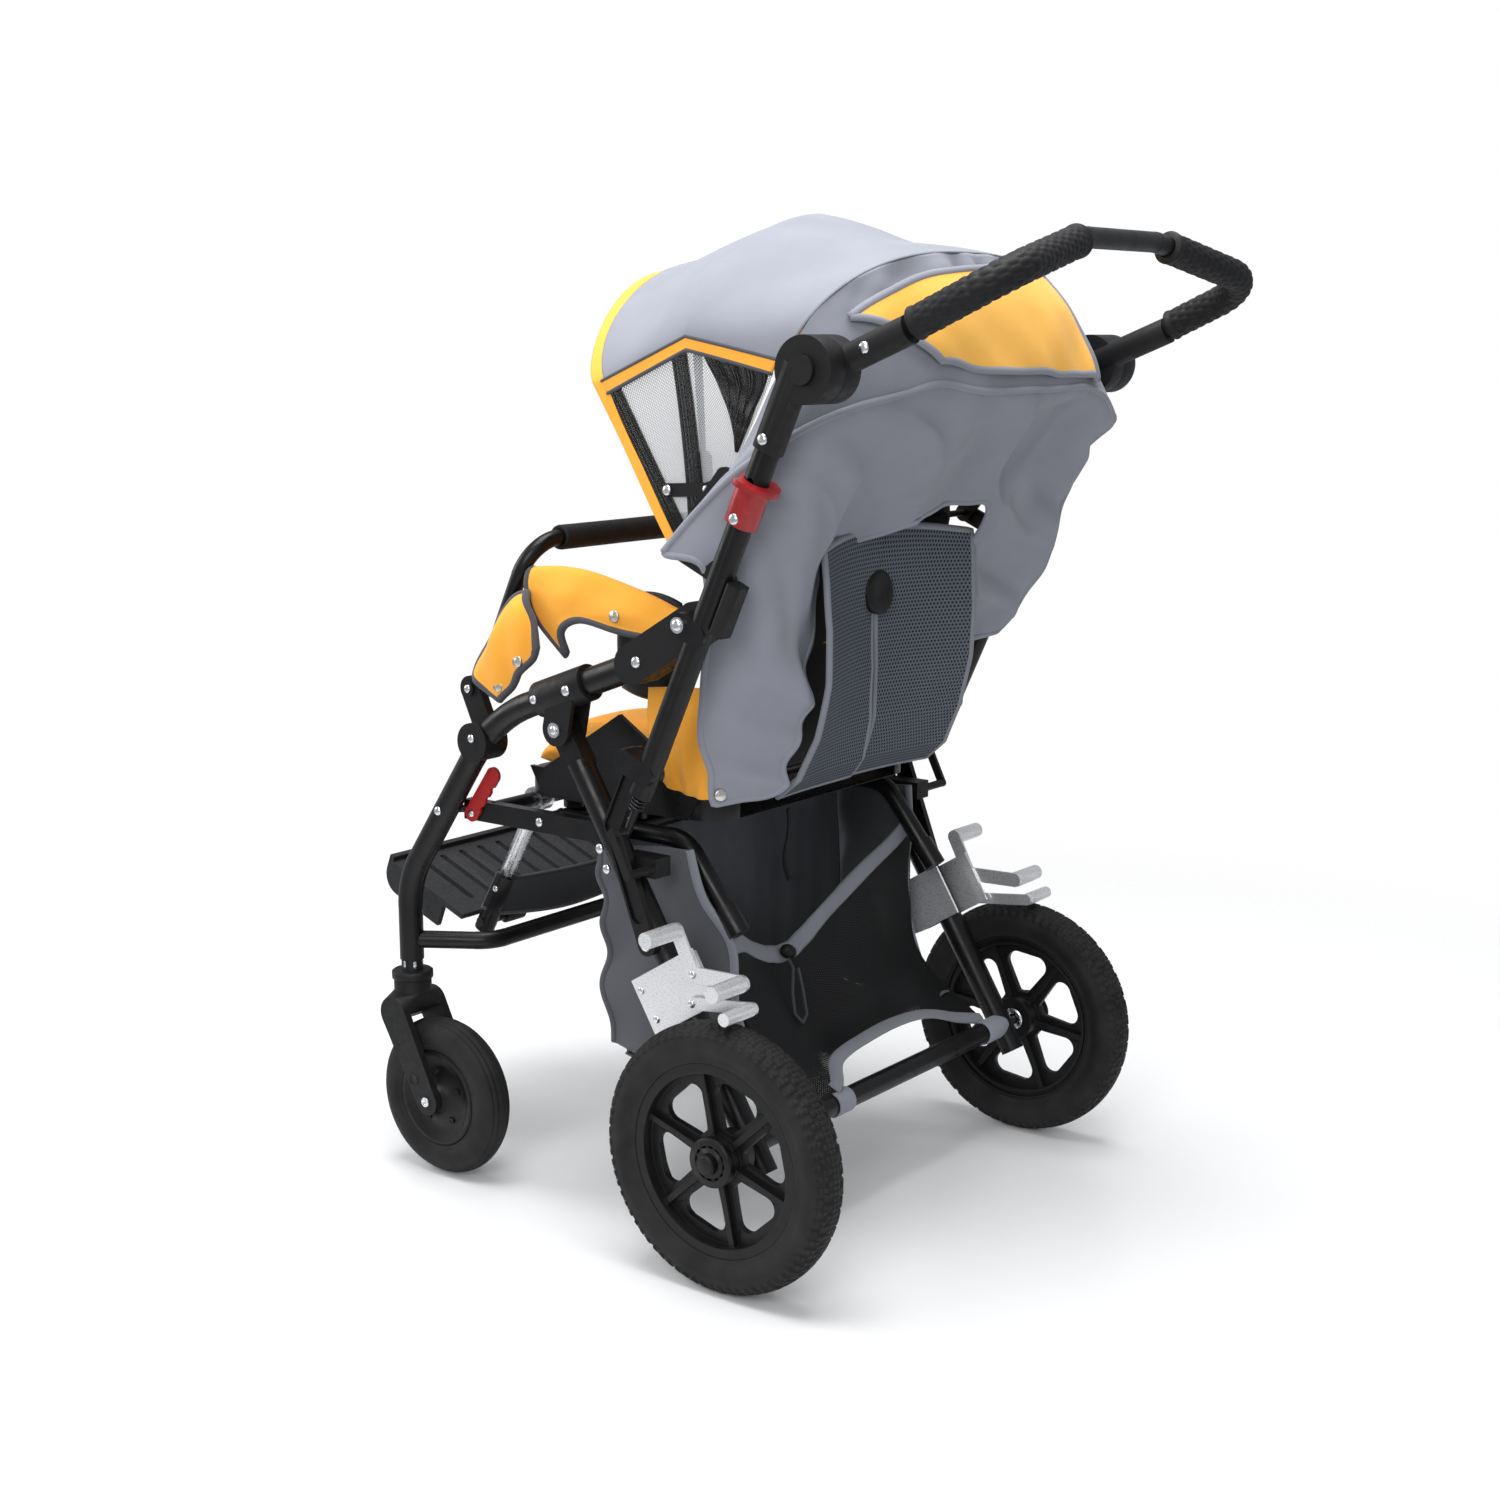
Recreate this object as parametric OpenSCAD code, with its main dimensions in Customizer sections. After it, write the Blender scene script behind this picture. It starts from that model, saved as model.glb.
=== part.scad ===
// Special needs buggy: folding tube frame, moulded seat, reclining back, hood, basket, foot brakes.
// It faces -Y, its left side is +X, up is +Z; the floor is z = 0, the origin is under its middle.

/* [Wheels] */
// Radius of a rear wheel over its tyre
rear_r = 150; // [144:1:152]
// Width of a rear tyre
rear_tyre_w = 49; // [44:1:50]
// How far the middle of a rear tyre stands outside the seat
wheel_out = 111; // [110:1:118]
// Radius of a front wheel over its tyre
caster_r = 98; // [92:1:102]
// Width of a front tyre
caster_tyre_w = 45; // [38:1:47]
// Distance of a front wheel behind its stem
caster_trail = 54; // [50:1:58]

/* [Frame] */
// How far the arm tubes and rear legs stand outside the seat
side_out = 60; // [59:1:61]
// How far the front legs stand outside the seat
leg_out = 48; // [47:1:50]
// How far the back tubes stand outside the seat
back_out = 98; // [98:1:100]
// Diameter of the front and rear legs
leg_d = 30; // [28:1:31]
// Diameter of the arm tubes
arm_d = 32; // [29:1:33]
// Width of a back tube
back_w = 22; // [20:1:22]
// Depth of a back tube
back_depth = 28; // [26:1:30]
// Lean of the back tubes above the floor
back_lean = 65.5; // [65:0.5:66]
// Distance of the front wheel stems ahead of the rear axle
stem_reach = 534; // [530:1:540]

/* [Handle] */
// Diameter of the push bar
bar_d = 22; // [19:1:24]
// Diameter of the hand grips
grip_d = 34; // [30:1:36]
// Diameter of the handle hubs
hub_d = 68; // [64:1:70]
// Rise of the handle behind its hubs
handle_rise = 22; // [18:1:26]

/* [Hood] */
// How far the sides of the hood stand outside the seat
hood_out = 42; // [40:1:43]
// Height of the hood above its pivots at the back
hood_back_r = 348; // [335:1:355]
// Reach of the hood from its pivots at the front
hood_front_r = 379; // [368:1:390]
// Angle of the front bow from level
hood_front_angle = 130; // [126:1:133]

/* [Seat] */
// Half width of the seat shell
seat_half_w = 202; // [200:1:203]
// Height of the seat shell floor
seat_floor_z = 480; // [478:1:484]
// Diameter of the grab bar tube
grab_d = 19; // [16:1:20]
// Diameter of the grab bar sleeve
foam_d = 29; // [26:1:34]

/* [Footrest] */
// Half the distance between the footrest tubes
hanger_x = 150; // [140:1:155]
// Slope of the footrest tubes from level
hanger_slope = 61.4; // [60:0.2:63]
// Half width of the footplate
plate_half_w = 178; // [170:1:182]
// Depth of the footplate
plate_depth = 158; // [145:1:165]
// Rise of the footplate to the front
plate_rise = 22; // [18:1:26]

/* [Hidden] */
// Curve steps of round shapes
$fn = 48;
// Overrun of a cut
over = 1;
// Gap between neighbours
gap = 0.3;
// Radial play of a pin that turns
run = 0.05;
// Radial play of a fixed tube in its socket
fit = 0.1;
// How far a straight tube runs into its bend
bend_in = 0.8;
// How much thinner than its round end a straight run is
bend_step = 0.4;
// Place of the rear axle behind the origin
axle_back = 170;
side_x = seat_half_w + side_out;
leg_x = seat_half_w + leg_out;
back_x = seat_half_w + back_out;
track = 2 * (seat_half_w + wheel_out);
hood_half_w = seat_half_w + hood_out;
axle_z = rear_r;

// Joint places in the side view, from the rear axle
fold_y = -58;
fold_z = 718;
fold_p = [fold_y, fold_z];
strut_top_y = -137;
strut_top_z = 565;
strut_top = [strut_top_y, strut_top_z];
leg_pivot_y = -264;
leg_pivot_z = 580;
leg_pivot = [leg_pivot_y, leg_pivot_z];
axle_p = [0, axle_z];
rear_dir = (axle_p - leg_pivot) / norm(axle_p - leg_pivot);
rear_nrm = [-rear_dir[1], rear_dir[0]];
strut_foot_down = 262.8;
strut_foot = leg_pivot + rear_dir * strut_foot_down;
strut_bend_y = -175;
strut_bend_z = 484;
strut_bend = [strut_bend_y, strut_bend_z];

// Front leg and arm tube
leg_foot_z = 262;
knee_z = 362;
shoulder_reach = 385;
shoulder_z = 577;
arm_start_reach = 255;
arm_start_z = 625;
knee_bend = 110;
shoulder_bend = 200;
shoulder_p = [-shoulder_reach, shoulder_z];
arm_start = [-arm_start_reach, arm_start_z];
arm_dir = (arm_start - shoulder_p) / norm(arm_start - shoulder_p);
arm_len = 152;
arm_joint_half_w = 12;
arm_joint_d = 44;
joint_out = 25;
joint_face = side_x + joint_out;
leg_path = [
  [leg_x, -stem_reach, leg_foot_z],
  [leg_x, -stem_reach, knee_z],
  [leg_x, -shoulder_reach, shoulder_z],
  [side_x, -arm_start_reach, arm_start_z]
];
leg_bends = [0, knee_bend, shoulder_bend, 0];
leg_slope_dir = ([-shoulder_reach, shoulder_z] - [-stem_reach, knee_z])
  / norm([-shoulder_reach, shoulder_z] - [-stem_reach, knee_z]);

// Leg joint: a sleeve with two cheeks that hold the rear leg
sleeve_wall = 5;
sleeve_front = 46;
sleeve_back = 36;
sleeve_tail = 32;
cheek_t = 6;
cheek_d = 38;
plug_t = 20;
plug_len = 42;
pin_d = 10;
pin_head_d = 17;
pin_head_t = 3;

// Front crossbar
cross_d = 22;
cross_z = 286;
cross_in = 54;
cross_half_w = leg_x - cross_in;
cross_bend = 40;

// Seat subframe
rail_w = 14;
rail_h = 24;
rail_out = 27;
rail_x = seat_half_w + rail_out;
rail_z = 458;
leg_at_rail = -stem_reach + (rail_z - knee_z) * leg_slope_dir[0] / leg_slope_dir[1];
rail_step = 15.5;
rail_front = -leg_at_rail - rail_step;
rail_back = 205;
curve_in = 2;
curve_x = seat_half_w - curve_in;
curve_d = 22;
curve_front = 330;
curve_top_y = -140;
curve_end_y = -64;
curve_end_z = 362;
curve_bend = 45;
curve_cap_d = 27;
curve_cap_len = 34;
hinge_tube_d = 18;
hinge_back = 57.47;
hinge_y = leg_at_rail + hinge_back;
cross_step = 39;
cross_reach = cross_step - hinge_y;
hinge_z = 462;
hinge_p = [hinge_y, hinge_z];
tie_y = -230;

// Seat shell, cushion and flaps
tray_front = 395;
tray_back = 97;
tray_h = 28;
tray_r = 40;
wing_t = 6;
wing_low_z = 515;
wing_mid_y = -236;
wing_top_z = 590;
wing_front_y = -353;
recline_y = -130;
recline_z = 515;
recline_p = [recline_y, recline_z];
ear_d = 26;
trunnion_d = 9;
barrel_d = 16;
cushion_in = 14;
cushion_half_w = seat_half_w - cushion_in;
cushion_front = 404;
cushion_back = 152;
cushion_edge = 16;
cushion_crown = 38;
flap_t = 8;
flap_front = 384;
flap_back = 170;
flap_low_z = 596;
flap_top_z = 742;
foot_d = 24;

// Seat latches
latch_back = 31.47;
latch_y = leg_at_rail + latch_back;
latch_z = 455;
latch_p = [latch_y, latch_z];
latch_run = 36;
latch_tip_y = latch_y + latch_run;
latch_tip_z = 505;
latch_tip = [latch_tip_y, latch_tip_z];
latch_w = 20;
latch_t = 4;
latch_pin_d = 7;
notch_d = 9;

// Grab bar
grab_out = 20;
grab_x = seat_half_w + grab_out;
grab_y = -432;
grab_z = 606;
grab_p = [grab_y, grab_z];
grab_top_y = -348;
grab_top_z = 783;
grab_bend = 46;
grab_eye_d = 28;
grab_eye_w = 18;
foam_in = 47;
foam_half = grab_x - foam_in;
clamp_d = 46;
clamp_arm_d = 30;
clamp_t = 11;
clamp_w = 26;
clamp_z = 548;
clamp_y = -stem_reach + (clamp_z - knee_z) * leg_slope_dir[0] / leg_slope_dir[1];

// Footrest
hanger_dir = [-cos(hanger_slope), -sin(hanger_slope)];
hanger_d = 19;
hanger_len = 152;
slide_d = 25;
slide_from = 118;
slide_to = 204;
foot_travel = 30;
eye_d = 30;
eye_w = 22;
step_rod_d = 12;
calf_from = 114;
calf_to = 172;
calf_t = 38;
calf_over = 22;
calf_crown = 12;
plate_t = 7;
plate_eye_d = 20;
plate_eye_w = 30;
plate_eye_x = 105;
plate_rim = 14;
slot_w = 9;
slot_pitch = 34;
slot_len = 96;
wing_drop = 34;
toe_r = 26;

// Back tube
back_dir = [cos(back_lean), sin(back_lean)];
front_dir = [-sin(back_lean), cos(back_lean)];
lug_off = 22;
lug_d = 26;
back_low = -199;
back_top = 288;
tube_wall = 2.5;
strut_lug_s = -172;
sleeve_low = 211;
sleeve_t = 3;
hub_s = 304;
hub_back = 13;
hub_p = fold_p + back_dir * hub_s - front_dir * (lug_off + hub_back);
hub_in = 14.5;
hub_split_x = back_x - hub_in;
hub_cap = 12;
hub_out_x = back_x + hub_cap;
hub_deep = 40;
hub_in_x = back_x - hub_deep;
hub_axle_d = 20;
hub_axle_len = 13;
button_d = 30;
button_out = 5;
button_deep = 12;
button_press = 4;

// Fold latch and its spring
grip_s = 128;
grip_len = 48;
grip_wall = 4.5;
flange_t = 7;
flange_out = 17;
slot_h = 8;
latch_travel = 20;
cross_pin_d = 6;
rod_d = 4;
rod_off = -8.5;
plunger_d = 9;
plunger_in = 34;
plunger_out = 50;
coil_d = 17;
coil_wire = 2.6;
coil_len = 20;
coil_turns = 4;
clip_s = 12;
clip_len = 58;
clip_depth = 17;

// Handle
handle_in = 31;
handle_x = back_x - handle_in;
handle_dir = [cos(handle_rise), sin(handle_rise)];
handle_sleeve_d = 31;
handle_sleeve_len = 104;
bar_in = 40;
corner_in = 3;
corner_x = handle_x - corner_in;
corner_y = 302;
corner_z = 1070;
bar_end_x = 76;
bar_end_y = 276;
bar_end_z = 1109;
corner_bend = 48;
end_bend = 40;
grip_from = 108;

// Hood
hood_y = -81;
hood_z = 796;
hood_p = [hood_y, hood_z];
hood_t = 3;
hood_back_angle = 60;
hood_mid_angle = 94;
hood_mid_r = 348.8;
hood_start_r = 44;
hood_side_r = 217;
hood_side_t = 36;
hood_back_bow = [hood_back_angle, hood_back_r, 2.5];
hood_mid_bow_form = [hood_mid_angle, hood_mid_r, 1.6];
hood_front_bow_form = [hood_front_angle, hood_front_r, 1.35];
bow_t = 3.5;
bow_angle = 3;
bow_eye_d = 20;
hood_pin_d = 8;
stay_a_y = -123;
stay_a_z = 851;
stay_a = [stay_a_y, stay_a_z];
stay_e_y = -68;
stay_e_z = 854;
stay_e = [stay_e_y, stay_e_z];
stay_q_y = -20;
stay_q_z = 870;
stay_q = [stay_q_y, stay_q_z];
stay_w = 15;
stay_t = 3;
stay_out = 5;
stay_x = hood_half_w + stay_out;
stay_pin_d = 6;
bracket_t = 5;
bracket_w = 22;

// Backrest, sling and curtain
rest_lean = 76;
rest_dir = [cos(rest_lean), sin(rest_lean)];
rest_front = [-sin(rest_lean), cos(rest_lean)];
rest_in = 12;
rest_half_w = seat_half_w - rest_in;
rest_t = 9;
rest_from = 14;
rest_to = 436;
rest_r = 60;
pad_in = 6;
pad_half_w = seat_half_w - pad_in;
pad_edge = 18;
pad_crown = 28;
sling_in = 40;
sling_half_w = rest_half_w - sling_in;
sling_t = 6;
sling_top_z = 785;
sling_low_z = 508;
sling_top_y = -2;
sling_low_y = -62;
sling_belly = 34;
sling_lift = 14;
// Room below the pivot for the sling when the back leans: reach and angle
sling_room = [[0, 0], [80, 0], [80, -35], [42, -50], [26, -62]];
knob_d = 38;
knob_z = 724;
knob_t = 13;
curtain_top_z = 962;
curtain_low_z = 516;
curtain_top_y = 62;
curtain_low_y = -42;
curtain_out_x = hood_half_w - over;
curtain_w = 83;
curtain_in_x = curtain_out_x - curtain_w;
curtain_fold = 11;
curtain_t = 4;
hem_flare = 40;
edge_wrap = 62;
tab_z = 637;
tab_h = 20;
visor_top_y = hood_y + hood_back_r * cos(hood_back_angle);
visor_top_z = hood_z + hood_back_r * sin(hood_back_angle) - over;
visor_low_y = 150;
visor_low_z = 970;
visor_top_half = 118;
visor_low_half = 190;
visor_sag = 12;

// Rear frame
leg_tail = 36;
stub_d = 12;
stub_cap = 8;
cap_d = 24;
catch_y = -128;
catch_z = 440;
catch_p = [catch_y, catch_z];
catch_tip_y = -149.5;
catch_tip_z = 484;
catch_tip = [catch_tip_y, catch_tip_z];
catch_w = 10;
catch_x = back_x + back_w / 2 + over;
catch_t = 5;
catch_h = 22;

brake_t = 3;
brake_front_off = 48;
brake_back_off = 52;
brake_from = 288;
brake_len = 66;
lever_y = -64;
lever_z = 334;
lever_p = [lever_y, lever_z];
shoe_y = -63;
shoe_z = 302;
shoe_p = [shoe_y, shoe_z];
pedal_top_y = -87;
pedal_top_z = 379;
pedal_mid_y = 3;
pedal_mid_z = 336;
shoe_tip_y = 19;
shoe_tip_z = 312;
pedal_d = 18;
shoe_d = 14;
pedal_over = 22;
pedal_out_x = track / 2 + pedal_over;
lever_w = 18;
shoe_w = 14;
lever_t = 3;
brake_pin_d = 7;
basket_out = 24;
basket_half_w = seat_half_w + basket_out;
basket_front = 240;
basket_back = 22;
basket_low_z = 176;
basket_top_z = rail_z - rail_h / 2 - gap;
basket_t = 3;
basket_draft = 14;
basket_r = 36;

// Fold struts
strut_out = 17;
strut_x = side_x + strut_out;
strut_t = 8;
strut_w = 24;
strut_rim = 3;
strut_rivet_d = 10;

// Rear wheel
rim_r = 108;
rim_in_r = 96;
rim_w = 34;
rim_wall = 4;
wheel_hub_d = 54;
wheel_hub_w = 44;
spokes = 6;
spoke_in_w = 22;
spoke_out_w = 19;
web_r = 85;
window_r = 13;
window_in_r = 4;
window_from = 37;
open_out = 180 / spokes - asin((spoke_out_w / 2 + window_r) / (web_r - window_r));
open_in = 180 / spokes - asin((spoke_in_w / 2 + window_in_r) / window_from);
left_turn = 12.5;
right_turn = 23.5;
spoke_t = 8;
spoke_rib_w = 7;
spoke_rib_t = 22;
hub_cells = 12;
cell_w = 5;
cell_deep = 8;

// Front wheel and fork
caster_rim_r = 60;
caster_wall = 7;
caster_axle_d = 10;
caster_hub_d = 34;
caster_hub_w = 50;
fork_gap = 53;
fork_t = 9;
fork_crown_d = 46;
fork_crown_low = 214;
fork_crown_h = 34;
fork_eye_d = 34;
fork_top_d = 42;
fork_arm_z = 199;
fork_neck_h = 8;
tyre_room = 9;
stem_d = 14;
stem_in = 60;
collar_d = 26;
groove = 3;

// Colours
black = [0.07, 0.07, 0.08];
dark = [0.16, 0.16, 0.17];
steel = [0.72, 0.73, 0.75];
red = [0.75, 0.08, 0.07];
orange = [0.93, 0.42, 0.08];
grey = [0.62, 0.65, 0.68];

// Helpers
function unit(v) = v / norm(v);
function yz(x, p) = [x, p[0], p[1]];
function back_at(s, q) = fold_p + back_dir * s + front_dir * (q - lug_off);
function bend_cut(a, b, c, r) = r * tan(acos(unit(b - a) * unit(c - b)) / 2);
function hanger_at(s) = hinge_p + hanger_dir * s;
function rest_at(s, q) = recline_p + rest_dir * s + rest_front * q;

module at_axle() translate([0, axle_back, 0]) children();

module pair() {
  children();
  mirror([1, 0, 0]) children();
}

module rod(a, b, d) {
  z = unit(b - a);
  x = unit(cross(abs(z[0]) < 1 / 2 ? [1, 0, 0] : [0, 1, 0], z));
  y = cross(z, x);
  multmatrix([
    [x[0], y[0], z[0], a[0]],
    [x[1], y[1], z[1], a[1]],
    [x[2], y[2], z[2], a[2]],
    [0, 0, 0, 1]
  ]) cylinder(h = norm(b - a), d = d);
}

module elbow(a, b, c, r, d) {
  s = unit(b - a);
  e = unit(c - b);
  turn = acos(s * e);
  n = unit(e - s * (s * e));
  o = b - s * bend_cut(a, b, c, r) + n * r;
  z = cross(s, n);
  multmatrix([
    [-n[0], s[0], z[0], o[0]],
    [-n[1], s[1], z[1], o[1]],
    [-n[2], s[2], z[2], o[2]],
    [0, 0, 0, 1]
  ]) rotate_extrude(angle = turn) translate([r, 0]) circle(d = d);
}

module bent_tube(p, r, d) {
  last = len(p) - 1;
  for (i = [0:last - 1]) {
    u = unit(p[i + 1] - p[i]);
    from = i == 0 ? p[i] : p[i] + u * (bend_cut(p[i - 1], p[i], p[i + 1], r[i]) - bend_in);
    to = i == last - 1 ? p[last]
      : p[i + 1] - u * (bend_cut(p[i], p[i + 1], p[i + 2], r[i + 1]) - bend_in);
    rod(from, to, d - bend_step);
  }
  for (i = [1:last - 1]) elbow(p[i - 1], p[i], p[i + 1], r[i], d);
}

// A side view outline from x outwards
module slab(x, t) {
  multmatrix([[0, 0, 1, x], [1, 0, 0, 0], [0, 1, 0, 0], [0, 0, 0, 1]])
    linear_extrude(t) children();
}

module capsule(a, b, d) {
  v = b - a;
  translate(a) circle(d = d);
  translate(b) circle(d = d);
  w = d - bend_step;
  translate(a) rotate(atan2(v[1], v[0])) translate([0, -w / 2]) square([norm(v), w]);
}

module pin_x(p, from, to, d) {
  translate([from, p[0], p[1]]) rotate([0, 90, 0]) cylinder(h = to - from, d = d);
}

module round_rect(w, h, r) {
  translate([r - w / 2, -h / 2]) square([w - 2 * r, h]);
  translate([-w / 2, r - h / 2]) square([w, h - 2 * r]);
  for (sx = [-1, 1])
    for (sy = [-1, 1])
      translate([sx * (w / 2 - r), sy * (h / 2 - r)]) circle(r = r);
}

// An outline across a back tube, drawn up its axis from s
module on_back(s, len) {
  o = back_at(s, 0);
  multmatrix([
    [1, 0, 0, back_x],
    [0, -front_dir[0], back_dir[0], o[0]],
    [0, -front_dir[1], back_dir[1], o[1]],
    [0, 0, 0, 1]
  ]) linear_extrude(len) children();
}

module tube_outline(grow) {
  w = back_w + 2 * grow;
  h = back_depth + 2 * grow;
  side = w - bend_step;
  translate([-side / 2, -(h - w) / 2]) square([side, h - w]);
  for (s = [-1, 1]) translate([0, s * (h - w) / 2]) circle(d = w);
}

// A closed solid between two grids of points
module grid_solid(a, b) {
  m = len(a);
  n = len(a[0]);
  pts = concat([for (r = a) for (p = r) p], [for (r = b) for (p = r) p]);
  k = m * n;
  top = [for (i = [0:m - 2]) for (j = [0:n - 2]) each [
    [i * n + j, i * n + j + 1, i * n + n + j + 1],
    [i * n + j, i * n + n + j + 1, i * n + n + j]
  ]];
  low = [for (f = top) [f[2] + k, f[1] + k, f[0] + k]];
  rows = [for (j = [0:n - 2]) each [
    [j + 1, j, k + j],
    [j + 1, k + j, k + j + 1],
    [k - n + j, k - n + j + 1, 2 * k - n + j],
    [k - n + j + 1, 2 * k - n + j + 1, 2 * k - n + j]
  ]];
  ends = [for (i = [0:m - 2]) each [
    [i * n, i * n + n, k + i * n],
    [i * n + n, k + i * n + n, k + i * n],
    [i * n + n - 1, k + i * n + n - 1, i * n + 2 * n - 1],
    [i * n + 2 * n - 1, k + i * n + n - 1, k + i * n + 2 * n - 1]
  ]];
  polyhedron(concat(pts), concat(top, low, rows, ends), convexity = 4);
}

// Front frame
module front_legs() at_axle() color(black) pair() difference() {
  bent_tube(leg_path, leg_bends, leg_d);
  translate([leg_x, -stem_reach, leg_foot_z - over])
    cylinder(h = stem_in + over + gap, d = stem_d + 2 * run);
}

module arm_tubes() at_axle() color(black) pair()
  rod(yz(side_x, arm_start + arm_dir * over), yz(side_x, arm_start + arm_dir * arm_len), arm_d);

module leg_joint_cheek(from) {
  slab(from, cheek_t) capsule(leg_pivot, leg_pivot + (arm_start - leg_pivot) * 3 / 4, cheek_d);
}

module leg_joints() at_axle() color(black) pair() difference() {
  union() {
    rod(
      yz(side_x, arm_start - arm_dir * sleeve_front),
      yz(side_x, arm_start + arm_dir * sleeve_tail),
      arm_d + 2 * sleeve_wall
    );
    leg_joint_cheek(side_x + plug_t / 2 + gap);
    leg_joint_cheek(side_x - plug_t / 2 - gap - cheek_t);
  }
  rod(yz(side_x, arm_start), yz(side_x, arm_start + arm_dir * arm_len), arm_d + 2 * fit);
  rod(leg_path[2], leg_path[3] + unit(leg_path[3] - leg_path[2]) * over, leg_d + 2 * fit);
  pin_x(leg_pivot, side_x - arm_joint_d, side_x + arm_joint_d, pin_d + 2 * fit);
}

module arm_joints() at_axle() color(black) pair() difference() {
  slab(side_x - arm_joint_half_w, joint_face - side_x + arm_joint_half_w)
    capsule(arm_start + arm_dir * (arm_len - sleeve_back), fold_p, arm_joint_d);
  rod(yz(side_x, arm_start), yz(side_x, arm_start + arm_dir * (arm_len + gap)), arm_d + 2 * fit);
  pin_x(fold_p, side_x - arm_joint_d, joint_face + over, pin_d + 2 * fit);
}

module hinge_pins() at_axle() color(steel) pair() {
  pin_x(fold_p, side_x - arm_joint_half_w, back_x + back_w / 2 + gap, pin_d);
  pin_x(fold_p, back_x + back_w / 2 + gap, back_x + back_w / 2 + gap + pin_head_t, pin_head_d);
  cheek_out = plug_t / 2 + gap + cheek_t;
  pin_x(leg_pivot, side_x - cheek_out, side_x + cheek_out + fit, pin_d);
  pin_x(leg_pivot, side_x + cheek_out + fit, side_x + cheek_out + fit + pin_head_t, pin_head_d);
}

module front_crossbar() at_axle() color(black) difference() {
  bent_tube([
    [leg_x, -stem_reach, cross_z],
    [cross_half_w, -cross_reach, cross_z],
    [-cross_half_w, -cross_reach, cross_z],
    [-leg_x, -stem_reach, cross_z]
  ], [0, cross_bend, cross_bend, 0], cross_d);
  pair() translate([leg_x, -stem_reach, leg_foot_z]) cylinder(h = knee_z - leg_foot_z, d = leg_d + 2 * fit);
}

module seat_subframe() at_axle() color(black) {
  pair() {
    translate([rail_x - rail_w / 2, -rail_front, rail_z - rail_h / 2])
      cube([rail_w, rail_front - rail_back, rail_h]);
    bent_tube([
      [curve_x, -curve_front, rail_z],
      [curve_x, curve_top_y, rail_z],
      [curve_x, curve_end_y, curve_end_z]
    ], [0, curve_bend, 0], curve_d);
    end_dir = unit([0, curve_end_y - curve_top_y, curve_end_z - rail_z]);
    end_p = [curve_x, curve_end_y, curve_end_z];
    rod(end_p - end_dir * curve_cap_len, end_p + end_dir * over, curve_cap_d);
    pin_x(latch_p, rail_x, rail_x + rail_w / 2 + 2 * gap + latch_t, latch_pin_d);
    difference() {
      rod(
        [rail_x, -rail_front + rail_w / 3, rail_z],
        [leg_x, leg_at_rail, rail_z],
        rail_w * 2 / 3
      );
      rod(leg_path[1], leg_path[2], leg_d + 2 * fit);
    }
  }
  for (y = [-curve_front, tie_y])
    rod([-rail_x, y, rail_z], [rail_x, y, rail_z], hinge_tube_d);
  rod([-rail_x, hinge_y, hinge_z], [rail_x, hinge_y, hinge_z], hinge_tube_d);
}

module seat_shell() at_axle() color(dark) difference() {
  union() {
    translate([0, -(tray_front + tray_back) / 2, seat_floor_z])
      linear_extrude(tray_h) round_rect(2 * (seat_half_w - wing_t + over), tray_front - tray_back, tray_r);
    pair() {
      slab(seat_half_w - wing_t, wing_t) {
        polygon([
          [-tray_front + tray_r, seat_floor_z],
          [-tray_back - tray_r, seat_floor_z],
          [recline_y + ear_d / 2, recline_z],
          [wing_mid_y, wing_top_z],
          [wing_front_y, wing_low_z],
          [-tray_front + tray_r / 2, wing_low_z]
        ]);
        translate(recline_p) circle(d = ear_d);
      }
      for (y = [-curve_front, tie_y])
        translate([curve_x - foot_d, y, rail_z + hinge_tube_d / 2 + fit])
          cylinder(h = seat_floor_z - rail_z - hinge_tube_d / 2, d = foot_d);
    }
  }
  pair() pin_x(recline_p, seat_half_w - wing_t - over, seat_half_w + over, trunnion_d + 2 * run);
  translate([0, recline_y, recline_z]) rotate([0, 90, 0])
    cylinder(h = 2 * (seat_half_w - wing_t), d = barrel_d + 4 * over, center = true);
  slab(-sling_half_w - sling_t, 2 * (sling_half_w + sling_t))
    polygon([for (k = sling_room) recline_p + k[0] * [cos(k[1]), sin(k[1])]]);
}

// Soft pieces: a crowned pad over a flat back
function pad_row(steps) = [for (j = [0:steps]) 2 * j / steps - 1];
function swell(u, v) = pow((1 - pow(abs(u), 4)) * (1 - pow(abs(v), 4)), 1 / 2);

module seat_cushion() {
  steps = 14;
  mid = -(cushion_front + cushion_back) / 2;
  half = (cushion_front - cushion_back) / 2;
  low = seat_floor_z + tray_h + gap;
  channel_share = 0.22;
  function tuck(v) = 1 - channel_share * exp(-pow(9 * v, 2));
  us = pad_row(steps);
  top = [for (u = us) [for (v = us) [
    u * cushion_half_w * (1 - (1 - swell(0, v)) / 16),
    mid + v * half * (1 - (1 - swell(u, 0)) / 10),
    low + cushion_edge + cushion_crown * swell(u, v) * tuck(u)
  ]]];
  base = [for (u = us) [for (v = us) [u * (cushion_half_w - cushion_edge / 3),
    mid + v * (half - cushion_edge / 3), low]]];
  at_axle() color(orange) grid_solid(top, base);
}

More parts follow.
